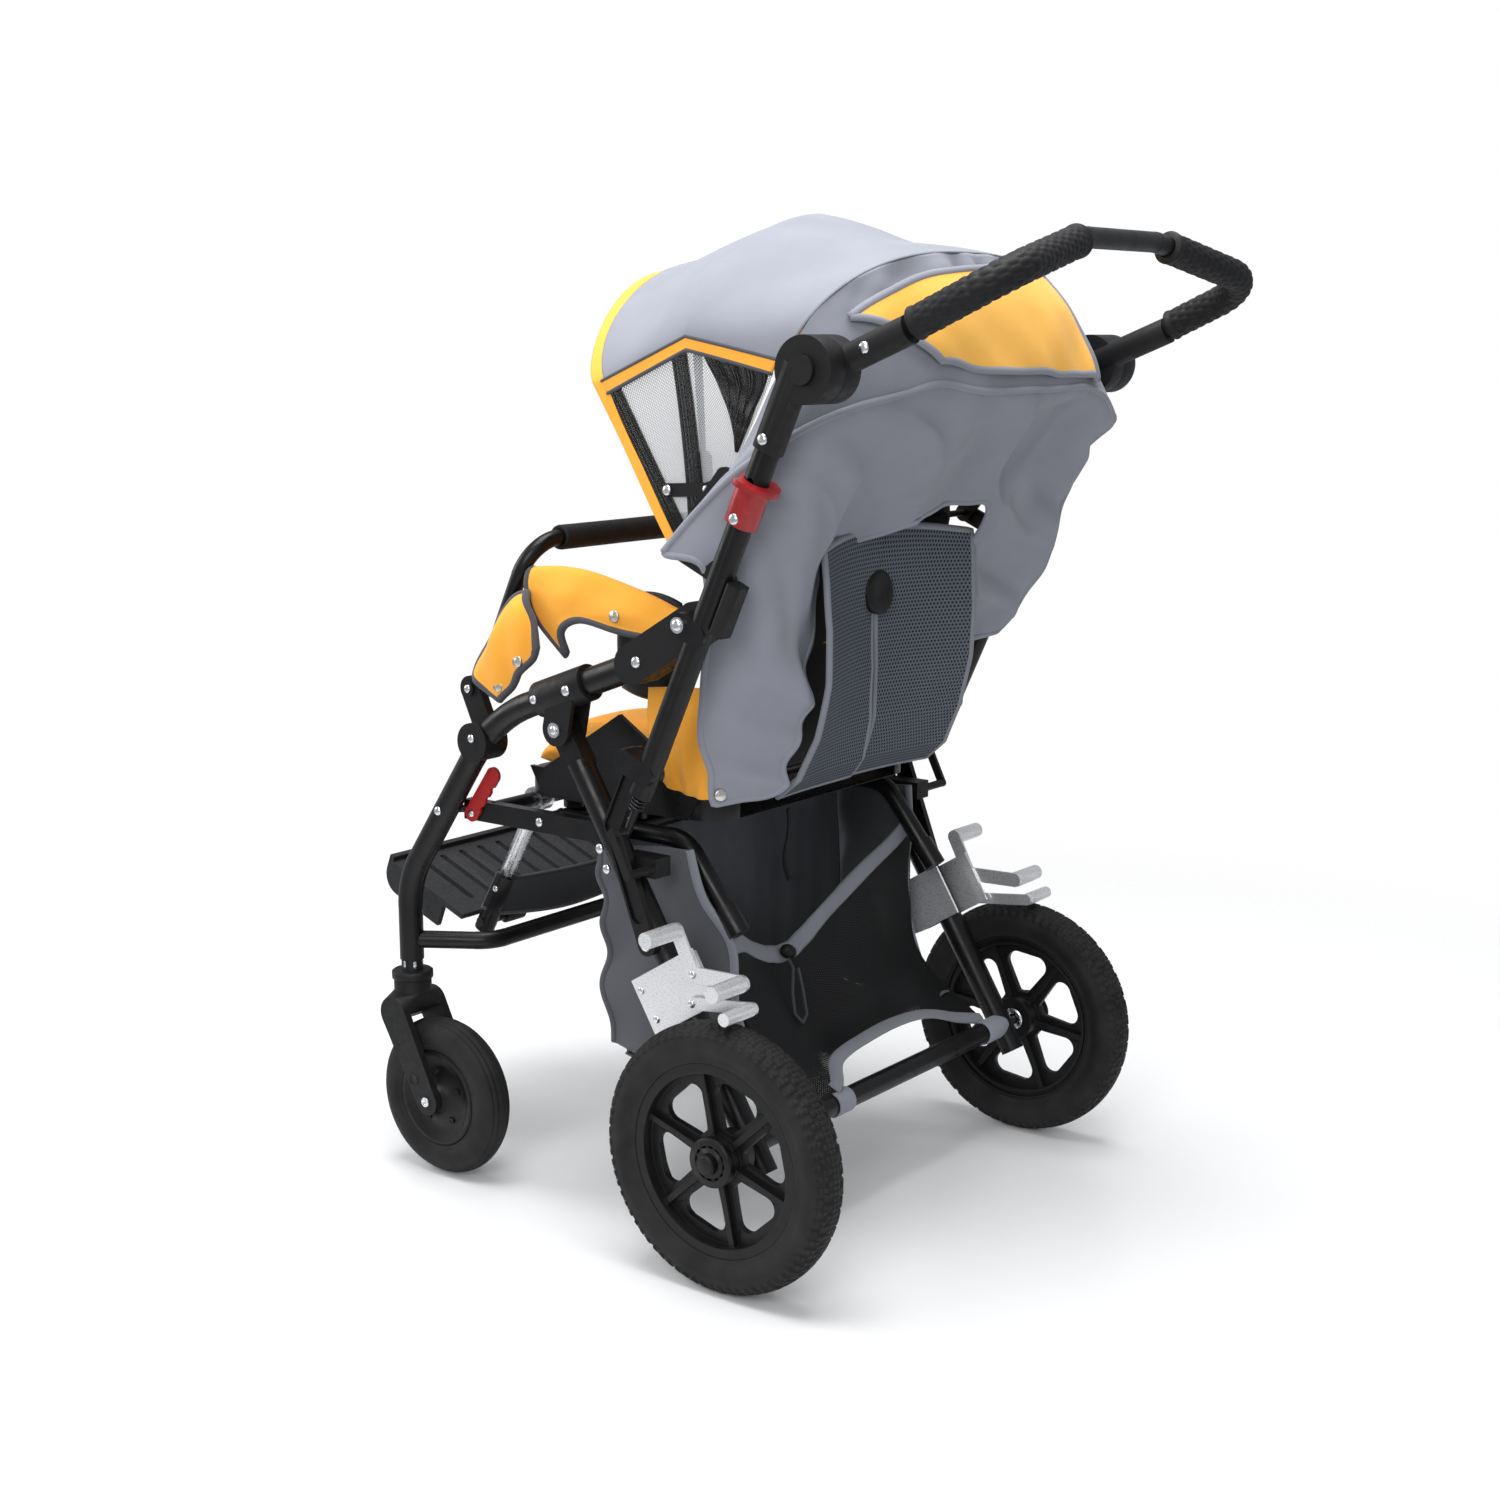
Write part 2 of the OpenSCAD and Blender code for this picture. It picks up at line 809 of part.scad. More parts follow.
module side_flaps() {
  steps = 8;
  us = [for (j = [0:steps]) j / steps];
  function crest(u) = flap_top_z - (flap_top_z - flap_low_z) / 5 * pow(u, 2);
  function floor_z(u) = flap_low_z - (flap_top_z - flap_low_z) / 6 * sin(180 * u);
  function lean(v) = (flap_front - flap_back) / 5 * (1 - v) * v;
  function at(u, v, x) = [x, -flap_front + u * (flap_front - flap_back) + lean(v), floor_z(u)
    + v * (crest(u) - floor_z(u))];
  x = seat_half_w + gap;
  inner = [for (u = us) [for (v = us) at(u, v, x)]];
  outer = [for (u = us) [for (v = us) at(u, v, x + flap_t / 5
    + (flap_t - flap_t / 5) * swell(2 * u - 1, 2 * v - 1))]];
  at_axle() color(orange) pair() grid_solid(outer, inner);
}

module seat_latch() difference() {
  slab(rail_x + rail_w / 2 + gap, latch_t) difference() {
    capsule(latch_p, latch_tip, latch_w);
    for (k = [1:3]) translate(latch_p + (latch_tip - latch_p) * k / 4
      + [latch_w / 2, -latch_w / 3]) circle(d = notch_d);
  }
  pin_x(latch_p, rail_x, rail_x + 2 * rail_w, latch_pin_d + 2 * run);
}

module seat_latch_left() at_axle() color(red) seat_latch();

module seat_latch_right() at_axle() color(red) mirror([1, 0, 0]) seat_latch();

module grab_bar_clamps() at_axle() color(black) {
  leg_p = [clamp_y, clamp_z];
  x = grab_x + grab_eye_w / 2 + gap;
  pair() difference() {
    union() {
      slab(x, clamp_t) capsule(leg_p, grab_p, clamp_arm_d);
      slab(x, clamp_w + clamp_t) translate(leg_p) circle(d = clamp_d);
    }
    bent_tube(leg_path, leg_bends, leg_d + 2 * fit + bend_step);
    pin_x(grab_p, x - over, x + clamp_t + over, pin_d + 2 * fit);
  }
  pair() {
    pin_x(grab_p, grab_x - grab_eye_w / 2, x + clamp_t + gap, pin_d);
    pin_x(grab_p, x + clamp_t + gap, x + clamp_t + gap + pin_head_t, pin_head_d);
  }
}

module grab_bar() at_axle() color(black) difference() {
  union() {
    bent_tube([
      yz(grab_x, grab_p),
      [grab_x, grab_top_y, grab_top_z],
      [-grab_x, grab_top_y, grab_top_z],
      yz(-grab_x, grab_p)
    ], [0, grab_bend, grab_bend, 0], grab_d);
    pair() pin_x(grab_p, grab_x - grab_eye_w / 2, grab_x + grab_eye_w / 2, grab_eye_d);
  }
  pair() pin_x(grab_p, grab_x - grab_eye_w, grab_x + grab_eye_w, pin_d + 2 * run);
}

module grab_sleeve() at_axle() color(black) difference() {
  rod([-foam_half, grab_top_y, grab_top_z], [foam_half, grab_top_y, grab_top_z], foam_d);
  rod([-grab_x, grab_top_y, grab_top_z], [grab_x, grab_top_y, grab_top_z], grab_d + 2 * fit);
}

// Footrest
module legrest_tubes() at_axle() color(steel) pair() difference() {
  union() {
    rod(yz(hanger_x, hinge_p), yz(hanger_x, hanger_at(hanger_len)), hanger_d);
    pin_x(hinge_p, hanger_x - eye_w / 2, hanger_x + eye_w / 2, eye_d);
  }
  pin_x(hinge_p, hanger_x - eye_w, hanger_x + eye_w, hinge_tube_d + 2 * run);
}

module footrest_tubes() at_axle() color(black) difference() {
  union() {
    pair() rod(yz(hanger_x, hanger_at(slide_from)), yz(hanger_x, hanger_at(slide_to)), slide_d);
    foot = hanger_at(slide_to - slide_d / 2);
    rod(yz(-plate_half_w + plate_rim, foot), yz(plate_half_w - plate_rim, foot), step_rod_d);
    brace = hanger_at(slide_to - 2 * slide_d);
    rod(yz(-hanger_x, brace), yz(hanger_x, brace), step_rod_d);
  }
  pair() rod(yz(hanger_x, hanger_at(0)), yz(hanger_x, hanger_at(hanger_len + foot_travel + gap)), hanger_d + 2 * run);
}

module calf_pad() {
  across = [-hanger_dir[1], hanger_dir[0]];
  steps = 12;
  half = hanger_x + calf_over;
  us = [for (j = [0:steps]) 2 * j / steps - 1];
  function at(u, v, q) = yz(u * half, hanger_at((calf_from + calf_to) / 2
    + v * (calf_to - calf_from) / 2) + across * q);
  front = [for (u = us) [for (v = us) at(u, v, calf_t / 2 * (1 - abs(v) / 6)
    + calf_crown * swell(u, v) - calf_crown)]];
  back = [for (u = us) [for (v = us) at(u, v, -calf_t / 2 * (1 - abs(v) / 6))]];
  brace = hanger_at(slide_to - 2 * slide_d);
  at_axle() color(dark) difference() {
    grid_solid(front, back);
    pair() rod(yz(hanger_x, hanger_at(0)), yz(hanger_x, hanger_at(2 * hanger_len)), slide_d + 2 * gap);
    rod(yz(-hanger_x, brace), yz(hanger_x, brace), step_rod_d + 2 * gap);
  }
}

module footplate() at_axle() color(dark) {
  foot = hanger_at(slide_to - slide_d / 2);
  translate(yz(0, foot)) rotate([-plate_rise, 0, 0]) {
    difference() {
      union() {
        translate([-plate_half_w, -plate_depth, -plate_t / 2])
          cube([2 * plate_half_w, plate_depth - slide_d / 2 - step_rod_d / 2, plate_t]);
        for (s = [-1, 1])
          for (x = [plate_eye_x, 0]) {
            translate([s * x - plate_eye_w / 2, 0, 0]) rotate([0, 90, 0])
              cylinder(h = plate_eye_w, d = plate_eye_d);
            translate([s * x - plate_eye_w / 2, -slide_d, -plate_t / 2])
              cube([plate_eye_w, slide_d, plate_t]);
          }
        pair() translate([plate_half_w - plate_t, -plate_depth, -wing_drop])
          cube([plate_t, plate_depth * 2 / 3, wing_drop]);
        translate([-plate_half_w, -plate_depth, -plate_t / 2])
          cube([2 * plate_half_w, plate_t, 2 * plate_t]);
      }
      rotate([0, 90, 0]) cylinder(h = 3 * plate_half_w, d = step_rod_d + 2 * run, center = true);
      for (k = [-4:4])
        translate([k * slot_pitch, -plate_depth / 2 - slide_d / 2, -over - plate_t / 2])
          linear_extrude(plate_t + 2 * over) round_rect(slot_w, slot_len, slot_w / 3);
      pair() translate([plate_half_w, -plate_depth, -wing_drop]) rotate([0, -90, 0])
        linear_extrude(3 * plate_t, center = true) difference() {
          translate([-over, -over]) square(toe_r + over);
          translate([toe_r, toe_r]) circle(r = toe_r);
        }
    }
  }
}

// Back frame
module back_tubes() at_axle() color(black) pair() difference() {
  union() {
    on_back(back_low, back_top - back_low) tube_outline(0);
    slab(back_x - back_w / 2, back_w) capsule(fold_p, back_at(0, 0), lug_d);
    slab(back_x - back_w / 2, back_w) capsule(strut_top, back_at(strut_lug_s, 0), lug_d);
  }
  on_back(back_low - over, back_top - back_low + 2 * over) tube_outline(-tube_wall);
  pin_x(fold_p, back_x - back_w, back_x + back_w, pin_d + 2 * run);
  low_slot = grip_s + grip_len / 2 - cross_pin_d / 2 - over;
  translate([back_x - back_w, 0, 0]) slab(0, 2 * back_w)
    capsule(back_at(low_slot, 0), back_at(low_slot + latch_travel + cross_pin_d + 2 * over, 0), slot_h);
}

module hub_sockets() at_axle() color(black) pair() difference() {
  union() {
    on_back(sleeve_low, hub_s - sleeve_low) tube_outline(sleeve_t);
    pin_x(hub_p, hub_split_x + gap, hub_out_x, hub_d);
  }
  on_back(sleeve_low - over, back_top - sleeve_low + over + gap) tube_outline(fit);
  pin_x(hub_p, hub_split_x, hub_split_x + hub_axle_len - gap, hub_axle_d + 2 * run);
  pin_x(hub_p, hub_out_x - button_deep, hub_out_x + button_out + over, button_d + 2 * gap);
}

module hub_button() pin_x(hub_p, hub_out_x - button_deep + button_press + gap, hub_out_x + button_out, button_d);

module hub_button_left() at_axle() color(black) hub_button();

module hub_button_right() at_axle() color(black) mirror([1, 0, 0]) hub_button();

module fold_latch() {
  difference() {
    union() {
      on_back(grip_s, grip_len) tube_outline(grip_wall);
      on_back(grip_s + grip_len - flange_t, flange_t) difference() {
        tube_outline(grip_wall + flange_out / 2);
        translate([-back_w, -back_depth - flange_out]) square([2 * back_w, back_depth + flange_out / 2]);
      }
    }
    on_back(grip_s - over, grip_len + 2 * over) tube_outline(gap);
  }
  mid = back_at(grip_s + grip_len / 2, 0);
  pin_x(mid, back_x - back_w / 2 - grip_wall, back_x + back_w / 2 + grip_wall, cross_pin_d);
  rod(yz(back_x, back_at(back_low + plunger_in - over, rod_off)),
    yz(back_x, back_at(grip_s + grip_len / 2 + cross_pin_d / 2, rod_off)), rod_d);
  slab(back_x - rod_d / 2, rod_d) capsule(mid, back_at(grip_s + grip_len / 2, rod_off), rod_d);
  slab(back_x - rod_d / 2, rod_d)
    capsule(back_at(back_low + plunger_in, 0), back_at(back_low + plunger_in, rod_off), rod_d);
  rod(yz(back_x, back_at(back_low - plunger_out, 0)),
    yz(back_x, back_at(back_low + plunger_in + rod_d / 2, 0)), plunger_d);
  pin_x(back_at(back_low - plunger_out + plunger_d / 2, 0), back_x, catch_x + catch_t + over, plunger_d - over);
}

module fold_latch_left() at_axle() color(red) fold_latch();

module fold_latch_right() at_axle() color(red) mirror([1, 0, 0]) fold_latch();

// A coil of one unbroken wire below the end of each back tube
module lock_springs() {
  turn_steps = 12;
  ring = 5;
  n = coil_turns * turn_steps;
  pitch = (coil_len - coil_wire) / coil_turns;
  o = back_at(back_low - gap - coil_wire / 2, 0);
  function wire(i, k) = let (
    a = 360 * i / turn_steps,
    c = 360 * k / ring,
    r = (coil_d - coil_wire) / 2 + coil_wire / 2 * cos(c),
    down = pitch * i / turn_steps + coil_wire / 2 * sin(c)
  ) [back_x + r * cos(a), o[0] - front_dir[0] * r * sin(a) - back_dir[0] * down,
    o[1] - front_dir[1] * r * sin(a) - back_dir[1] * down];
  pts = [for (i = [0:n]) for (k = [0:ring - 1]) wire(i, k)];
  skin = [for (i = [0:n - 1]) for (k = [0:ring - 1]) each [
    [i * ring + k, (i + 1) * ring + k, i * ring + (k + 1) % ring],
    [i * ring + (k + 1) % ring, (i + 1) * ring + k, (i + 1) * ring + (k + 1) % ring]
  ]];
  caps = [[for (k = [0:ring - 1]) k], [for (k = [0:ring - 1]) n * ring + ring - 1 - k]];
  at_axle() color(dark) pair() polyhedron(pts, concat(skin, caps), convexity = 6);
}
echo(coil_gap = (coil_len - coil_wire) / coil_turns - coil_wire);

module tube_clips() at_axle() color(black) pair() {
  on_back(clip_s, clip_len) translate([0, back_depth / 2 + gap + clip_depth / 2])
    round_rect(back_w + gap, clip_depth, clip_depth / 4);
  arm_s = (hood_p - fold_p) * back_dir;
  union() {
    slab(back_x - back_w / 2 - gap - bracket_t, bracket_t) capsule(hood_p, back_at(arm_s, 0), bracket_w);
    slab(back_x - back_w / 2 - gap - 2 * bracket_t, bracket_t) capsule(hood_p, stay_q, bracket_w);
    pin_x(hood_p, hood_half_w - hood_t - 4 * bow_t, back_x - back_w / 2 - gap, hood_pin_d);
    pin_x(stay_q, stay_x + gap, back_x - back_w / 2 - gap - bracket_t, stay_pin_d);
  }
}

// Handle
module push_bar() at_axle() color(black) {
  from = hub_p + handle_dir * bar_in;
  bent_tube([
    yz(handle_x, from),
    [corner_x, corner_y, corner_z],
    [bar_end_x, bar_end_y, bar_end_z],
    [-bar_end_x, bar_end_y, bar_end_z],
    [-corner_x, corner_y, corner_z],
    yz(-handle_x, from)
  ], [0, corner_bend, end_bend, end_bend, corner_bend, 0], bar_d);
}

module grips() at_axle() color(black) pair() {
  a = yz(handle_x, hub_p + handle_dir * bar_in);
  b = [corner_x, corner_y, corner_z];
  c = [bar_end_x, bar_end_y, bar_end_z];
  start = a + unit(b - a) * (grip_from - bar_in);
  stop = c + unit(b - c) * end_bend / 2;
  difference() {
    bent_tube([start, b, stop], [0, corner_bend, 0], grip_d);
    bent_tube([a, b, c], [0, corner_bend, 0], bar_d + 2 * fit);
  }
}

module handle_hubs() at_axle() color(black) pair() {
  a = yz(handle_x, hub_p);
  b = [corner_x, corner_y, corner_z];
  difference() {
    union() {
      pin_x(hub_p, hub_in_x, hub_split_x - gap, hub_d);
      pin_x(hub_p, hub_split_x - over, hub_split_x + hub_axle_len - 2 * gap, hub_axle_d);
      rod(a, yz(handle_x, hub_p + handle_dir * handle_sleeve_len), handle_sleeve_d - over);
    }
    rod(yz(handle_x, hub_p + handle_dir * (bar_in - gap)), b, bar_d + 2 * fit);
  }
}

// Hood
// Each bow is a straight side with a rounded arch on top
function hood_arch(b, t, in) = let (
  w = hood_half_w - in,
  side = min(t, 180 - t) / hood_side_t,
  q = 180 * (t - hood_side_t) / (180 - 2 * hood_side_t),
  r = side < 1 ? hood_start_r + (hood_side_r - hood_start_r) * side
    : hood_side_r + (b[1] - in - hood_side_r) * pow(max(0, sin(q)), 2 / b[2]),
  x = side < 1 ? w * sign(90 - t) : w * sign(cos(q)) * pow(abs(cos(q)), 2 / b[2])
) [x, hood_y + r * cos(b[0]), hood_z + r * sin(b[0])];
// The cover is pulled straight from bow to bow
function hood_between(a, b, t, in, k) = hood_arch(a, t, in) * (1 - k) + hood_arch(b, t, in) * k;
function hood_at(a, t, in) = a < hood_mid_angle
  ? hood_between(hood_back_bow, hood_mid_bow_form, t, in,
    (a - hood_back_angle) / (hood_mid_angle - hood_back_angle))
  : hood_between(hood_mid_bow_form, hood_front_bow_form, t, in,
    (a - hood_mid_angle) / (hood_front_angle - hood_mid_angle));

module hood_cover() at_axle() color(grey) {
  rows = 4;
  cols = 30;
  ts = [for (j = [0:cols]) 180 * j / cols];
  as = concat(
    [for (i = [0:rows - 1]) hood_back_angle + (hood_mid_angle - hood_back_angle) * i / rows],
    [for (i = [0:rows]) hood_mid_angle + (hood_front_angle - hood_mid_angle) * i / rows]
  );
  outer = [for (a = as) [for (t = ts) hood_at(a, t, 0)]];
  inner = [for (a = as) [for (t = ts) hood_at(a, t, hood_t)]];
  grid_solid(inner, outer);
}

module hood_bow(angle, in) {
  cols = 30;
  ts = [for (j = [0:cols]) 180 * j / cols];
  half = bow_angle / 2;
  difference() {
    union() {
      outer = [for (w = [1, -1]) [for (t = ts) hood_at(angle + w * half, t, in)]];
      inner = [for (w = [1, -1]) [for (t = ts) hood_at(angle + w * half, t, in + bow_t)]];
      grid_solid(outer, inner);
      pair() slab(hood_half_w - in - bow_t, bow_t)
        capsule(hood_p, hood_p + [cos(angle), sin(angle)] * hood_start_r * 2, bow_eye_d);
    }
    pair() pin_x(hood_p, hood_half_w - 2 * bow_eye_d, hood_half_w + bow_eye_d, hood_pin_d + 2 * run);
  }
}

module hood_front_bow() at_axle() color(black) hood_bow(hood_front_angle - bow_angle, hood_t + 2 * gap);

module hood_mid_bow() at_axle() color(black) hood_bow(hood_mid_angle, hood_t + 2 * gap + 2 * bow_t);

module stay_link(a, b, from) difference() {
  slab(from, stay_t) capsule(a, b, stay_w);
  pin_x(b, from - over, from + stay_t + over, stay_pin_d + 2 * run);
}

module hood_stay_front() at_axle() color(black) pair() {
  stay_link(stay_a, stay_e, stay_x - stay_t - gap);
}

module hood_stay_rear() at_axle() color(black) pair() stay_link(stay_e, stay_q, stay_x + gap);

// Backrest
module backrest_board() at_axle() color(dark) {
  o = rest_at(rest_from, 0);
  multmatrix([
    [1, 0, 0, 0],
    [0, rest_dir[0], -rest_front[0], o[0]],
    [0, rest_dir[1], -rest_front[1], o[1]],
    [0, 0, 0, 1]
  ]) translate([0, (rest_to - rest_from) / 2, -rest_t / 2])
    linear_extrude(rest_t) round_rect(2 * rest_half_w, rest_to - rest_from, rest_r);
  half = seat_half_w - wing_t - gap;
  pin_x(recline_p, -half, half, barrel_d);
  pin_x(recline_p, -seat_half_w, seat_half_w, trunnion_d);
  slab(-rest_half_w + rest_r, 2 * (rest_half_w - rest_r)) capsule(recline_p, rest_at(2 * rest_from, 0), rest_t);
}

module back_cushion() {
  steps = 14;
  us = pad_row(steps);
  from = 2 * rest_from;
  mid = (rest_to + from) / 2;
  half = (rest_to - from) / 2;
  function quilt(v) = 1 - exp(-pow(9 * (abs(v) - 1 / 3), 2)) / 4;
  front = [for (u = us) [for (v = us) yz(
    u * pad_half_w * (1 - (1 - swell(0, v)) / 12),
    rest_at(mid + v * half, rest_t / 2 + gap + pad_edge + pad_crown * swell(u, v) * quilt(v))
  )]];
  back = [for (u = us) [for (v = us) yz(
    u * (pad_half_w - pad_edge / 3) * (1 - (1 - swell(0, v)) / 12),
    rest_at(mid + v * (half - pad_edge / 3), rest_t / 2 + gap)
  )]];
  at_axle() color(orange) grid_solid(front, back);
}

module mesh_sling() {
  rows = 10;
  cols = 10;
  function up(v) = sling_top_z + (sling_low_z - sling_top_z) * v;
  function mid(v) = sling_top_y + (sling_low_y - sling_top_y) * pow(v, 2) + sling_belly * sin(180 * v);
  function edge(v) = recline_y + (up(v) - recline_z) / tan(rest_lean)
    + (rest_t / 2 + gap + sling_lift * pow(v, 6)) / sin(rest_lean);
  function sy(v, u) = mid(v) + (edge(v) - mid(v)) * pow(abs(u), 3);
  function at(u, v, t) = [u * sling_half_w, sy(v, u) + t, up(v)];
  us = [for (j = [0:cols]) 2 * j / cols - 1];
  vs = [for (i = [0:rows]) i / rows];
  outer = [for (v = vs) [for (u = us) at(u, v, sling_t)]];
  inner = [for (v = vs) [for (u = us) at(u, v, 0)]];
  at_axle() color(dark) grid_solid(inner, outer);
}

module back_knob() at_axle() color(black) {
  v = (knob_z - sling_top_z) / (sling_low_z - sling_top_z);
  y = sling_top_y + (sling_low_y - sling_top_y) * pow(v, 2) + sling_belly * sin(180 * v);
  translate([0, y + sling_t + knob_t / 4, knob_z]) rotate([-90, 0, 0]) cylinder(h = knob_t * 2 / 3, d = knob_d);
}

module back_curtain() {
  rows = 10;
  cols = 10;
  hs = [for (i = [0:rows]) i / rows];
  ts = [for (j = [0:cols]) j / cols];
  function cy(h, t) = curtain_top_y + (curtain_low_y - curtain_top_y) * h
    + hem_flare * pow(1 - h, 3) * t + curtain_fold * (1 / 2 + h / 2) * sin(3 * 360 * t + 90 * h)
    - edge_wrap * pow(1 - t, 4) * (1 - pow(1 - h, 3) / 3);
  function at(h, t, d) = [curtain_out_x - (curtain_out_x - curtain_in_x) * t,
    cy(h, t) + d, curtain_top_z + (curtain_low_z - curtain_top_z) * h];
  outer = [for (h = hs) [for (t = ts) at(h, t, curtain_t)]];
  inner = [for (h = hs) [for (t = ts) at(h, t, 0)]];
  function va(h, u, d) = [u * (visor_top_half + (visor_low_half - visor_top_half) * h),
    visor_top_y + (visor_low_y - visor_top_y) * h + visor_sag * sin(180 * h) * (1 - u * u) + d,
    visor_top_z + (visor_low_z - visor_top_z) * h - visor_sag * u * u];
  us = [for (t = ts) 2 * t - 1];
  front = [for (h = hs) [for (u = us) va(h, u, 0)]];
  back = [for (h = hs) [for (u = us) va(h, u, curtain_t)]];
  tab_y = cy((tab_z - curtain_top_z) / (curtain_low_z - curtain_top_z), 0);
  at_axle() color(grey) {
    pair() {
      grid_solid(outer, inner);
      translate([curtain_out_x - over, tab_y + curtain_t / 4, tab_z - tab_h / 2])
        cube([back_x - back_w / 2 - gap - curtain_out_x + over, curtain_t / 2, tab_h]);
    }
    grid_solid(front, back);
  }
}

// Rear frame
module rear_legs() at_axle() color(black) pair() difference() {
  union() {
    pin_x(strut_foot, side_x, strut_x + strut_t + gap, pin_d);
    rod(yz(side_x, leg_pivot + rear_dir * plug_len), yz(side_x, axle_p + rear_dir * leg_tail), leg_d);
    slab(side_x - plug_t / 2, plug_t) capsule(leg_pivot, leg_pivot + rear_dir * (plug_len + over), leg_d);
  }
  pin_x(leg_pivot, side_x - leg_d, side_x + leg_d, pin_d + 2 * run);
  pin_x(axle_p, side_x - leg_d, side_x + leg_d, stub_d + 2 * fit);
}

module rear_cross_tube() at_axle() color(black) {
  difference() {
    rod(yz(-side_x, axle_p), yz(side_x, axle_p), cross_d + groove);
    pair() rod(yz(side_x, leg_pivot), yz(side_x, axle_p + rear_dir * 2 * leg_tail), leg_d + 2 * fit);
  }
  out = track / 2 + wheel_hub_w / 2 + gap;
  rod(yz(-out - stub_cap, axle_p), yz(out + stub_cap, axle_p), stub_d);
  pair() pin_x(axle_p, out, out + stub_cap, cap_d);
}

module lock_clips() at_axle() color(black) pair() {
  difference() {
    translate([side_x - leg_d / 2 + over, catch_y - 2 * catch_h, catch_z - catch_h / 2])
      cube([leg_d - 4 * over, 2 * catch_h + catch_w / 2, catch_h]);
    rod(yz(side_x, leg_pivot), yz(side_x, axle_p), leg_d + 2 * fit);
    translate([side_x - leg_d, 0, 0]) slab(0, 2 * leg_d) polygon([
      leg_pivot, leg_pivot + rear_dir * strut_foot_down,
      leg_pivot + rear_dir * strut_foot_down - [strut_foot_down, 0], leg_pivot - [strut_foot_down, 0]
    ]);
  }
  pin_x(catch_p, side_x, catch_x + catch_t, catch_w);
  slab(catch_x, catch_t) capsule(catch_p, catch_tip, catch_w + bend_step);
}

module brake_plate(front, back) {
  from = leg_pivot + rear_dir * brake_from;
  to = from + rear_dir * brake_len;
  polygon([
    from - rear_nrm * front,
    from + rear_nrm * back,
    to + rear_nrm * back,
    to - rear_nrm * front
  ]);
}

module brake_brackets() at_axle() color(steel) pair() {
  out = side_x + leg_d / 2 + fit;
  in = side_x - leg_d / 2 - fit - brake_t;
  slab(out, brake_t) brake_plate(brake_front_off, brake_back_off);
  slab(in, brake_t) brake_plate(brake_front_off, brake_back_off / 2);
  slab(in, out - in) brake_plate(brake_front_off, brake_t - brake_front_off);
  pin_x(lever_p, out, out + brake_t + gap + lever_t + gap, brake_pin_d);
  pin_x(shoe_p, out, out + brake_t + 2 * (gap + lever_t) + gap, brake_pin_d);
}

module brake_lever() {
  x = side_x + leg_d / 2 + fit + brake_t + gap;
  top = [pedal_top_y, pedal_top_z];
  mid = [pedal_mid_y, pedal_mid_z];
  difference() {
    union() {
      slab(x, lever_t) {
        capsule(lever_p, top, lever_w);
        capsule(lever_p, mid, lever_w);
      }
      pin_x(top, x, pedal_out_x, pedal_d);
      pin_x(mid, x, pedal_out_x, pedal_d);
    }
    pin_x(lever_p, x - over, x + lever_t + over, brake_pin_d + 2 * run);
  }
}

module brake_lever_left() at_axle() color(steel) brake_lever();

module brake_lever_right() at_axle() color(steel) mirror([1, 0, 0]) brake_lever();

module brake_shoe() {
  x = side_x + leg_d / 2 + fit + brake_t + 2 * gap + lever_t;
  tip = [shoe_tip_y, shoe_tip_z];
  difference() {
    union() {
      slab(x, lever_t) capsule(shoe_p, tip, shoe_w);
      pin_x(tip, x, pedal_out_x, shoe_d);
    }
    pin_x(shoe_p, x - over, x + lever_t + over, brake_pin_d + 2 * run);
  }
}

module brake_shoe_left() at_axle() color(steel) brake_shoe();

module brake_shoe_right() at_axle() color(steel) mirror([1, 0, 0]) brake_shoe();

module basket_form(in, from, to) {
  long = basket_front - basket_back - 2 * in;
  wide = 2 * (basket_half_w - in);
  hull() {
    translate([0, 0, from]) linear_extrude(basket_t)
      round_rect(wide - 2 * basket_draft, long - 2 * basket_draft, basket_r - in);
    translate([0, 0, to - basket_t]) linear_extrude(basket_t) round_rect(wide, long, basket_r - in);
  }
}

module basket() at_axle() color(dark) translate([0, -(basket_front + basket_back) / 2, 0]) difference() {
  basket_form(0, basket_low_z, basket_top_z);
  basket_form(basket_t, basket_low_z + basket_t, basket_top_z + over);
}

// Fold struts: bent flat bars with a raised rim
module fold_struts() at_axle() color(black) pair() {
  difference() {
    slab(strut_x, strut_t) {
      capsule(strut_top, strut_bend, strut_w);
      capsule(strut_bend, strut_foot, strut_w);
    }
    slab(strut_x + strut_t - strut_rim, strut_t) {
      capsule(strut_top * 3 / 4 + strut_bend / 4, strut_bend, strut_w - 2 * strut_rim);
      capsule(strut_bend, strut_foot * 3 / 4 + strut_bend / 4, strut_w - 2 * strut_rim);
    }
    pin_x(strut_foot, strut_x - over, strut_x + strut_t + over, pin_d + 2 * run);
  }
  pin_x(strut_top, strut_x + strut_t / 2, strut_x + strut_t + strut_rim / 2, strut_rivet_d);
}

// Rear wheels
module wheel_place(x, p) translate([x, p[0], p[1]]) rotate([0, 90, 0]) children();

module tyre_form(r, w, seat_r) rotate_extrude() difference() {
  union() {
    translate([r - w / 2, 0]) circle(d = w);
    translate([seat_r, -w / 2]) square([r - w / 2 - seat_r, w]);
  }
  translate([0, -w]) square([seat_r, 2 * w]);
}

module rear_tyre() wheel_place(track / 2, axle_p) tyre_form(rear_r, rear_tyre_w, rim_r);

module rear_tyre_left() at_axle() color(black) rear_tyre();

module rear_tyre_right() at_axle() color(black) mirror([1, 0, 0]) rear_tyre();

module wheel_window() hull() for (side = [-1, 1]) {
  rotate(side * open_out) translate([web_r - window_r, 0]) circle(r = window_r);
  rotate(side * open_in) translate([window_from, 0]) circle(r = window_in_r);
}

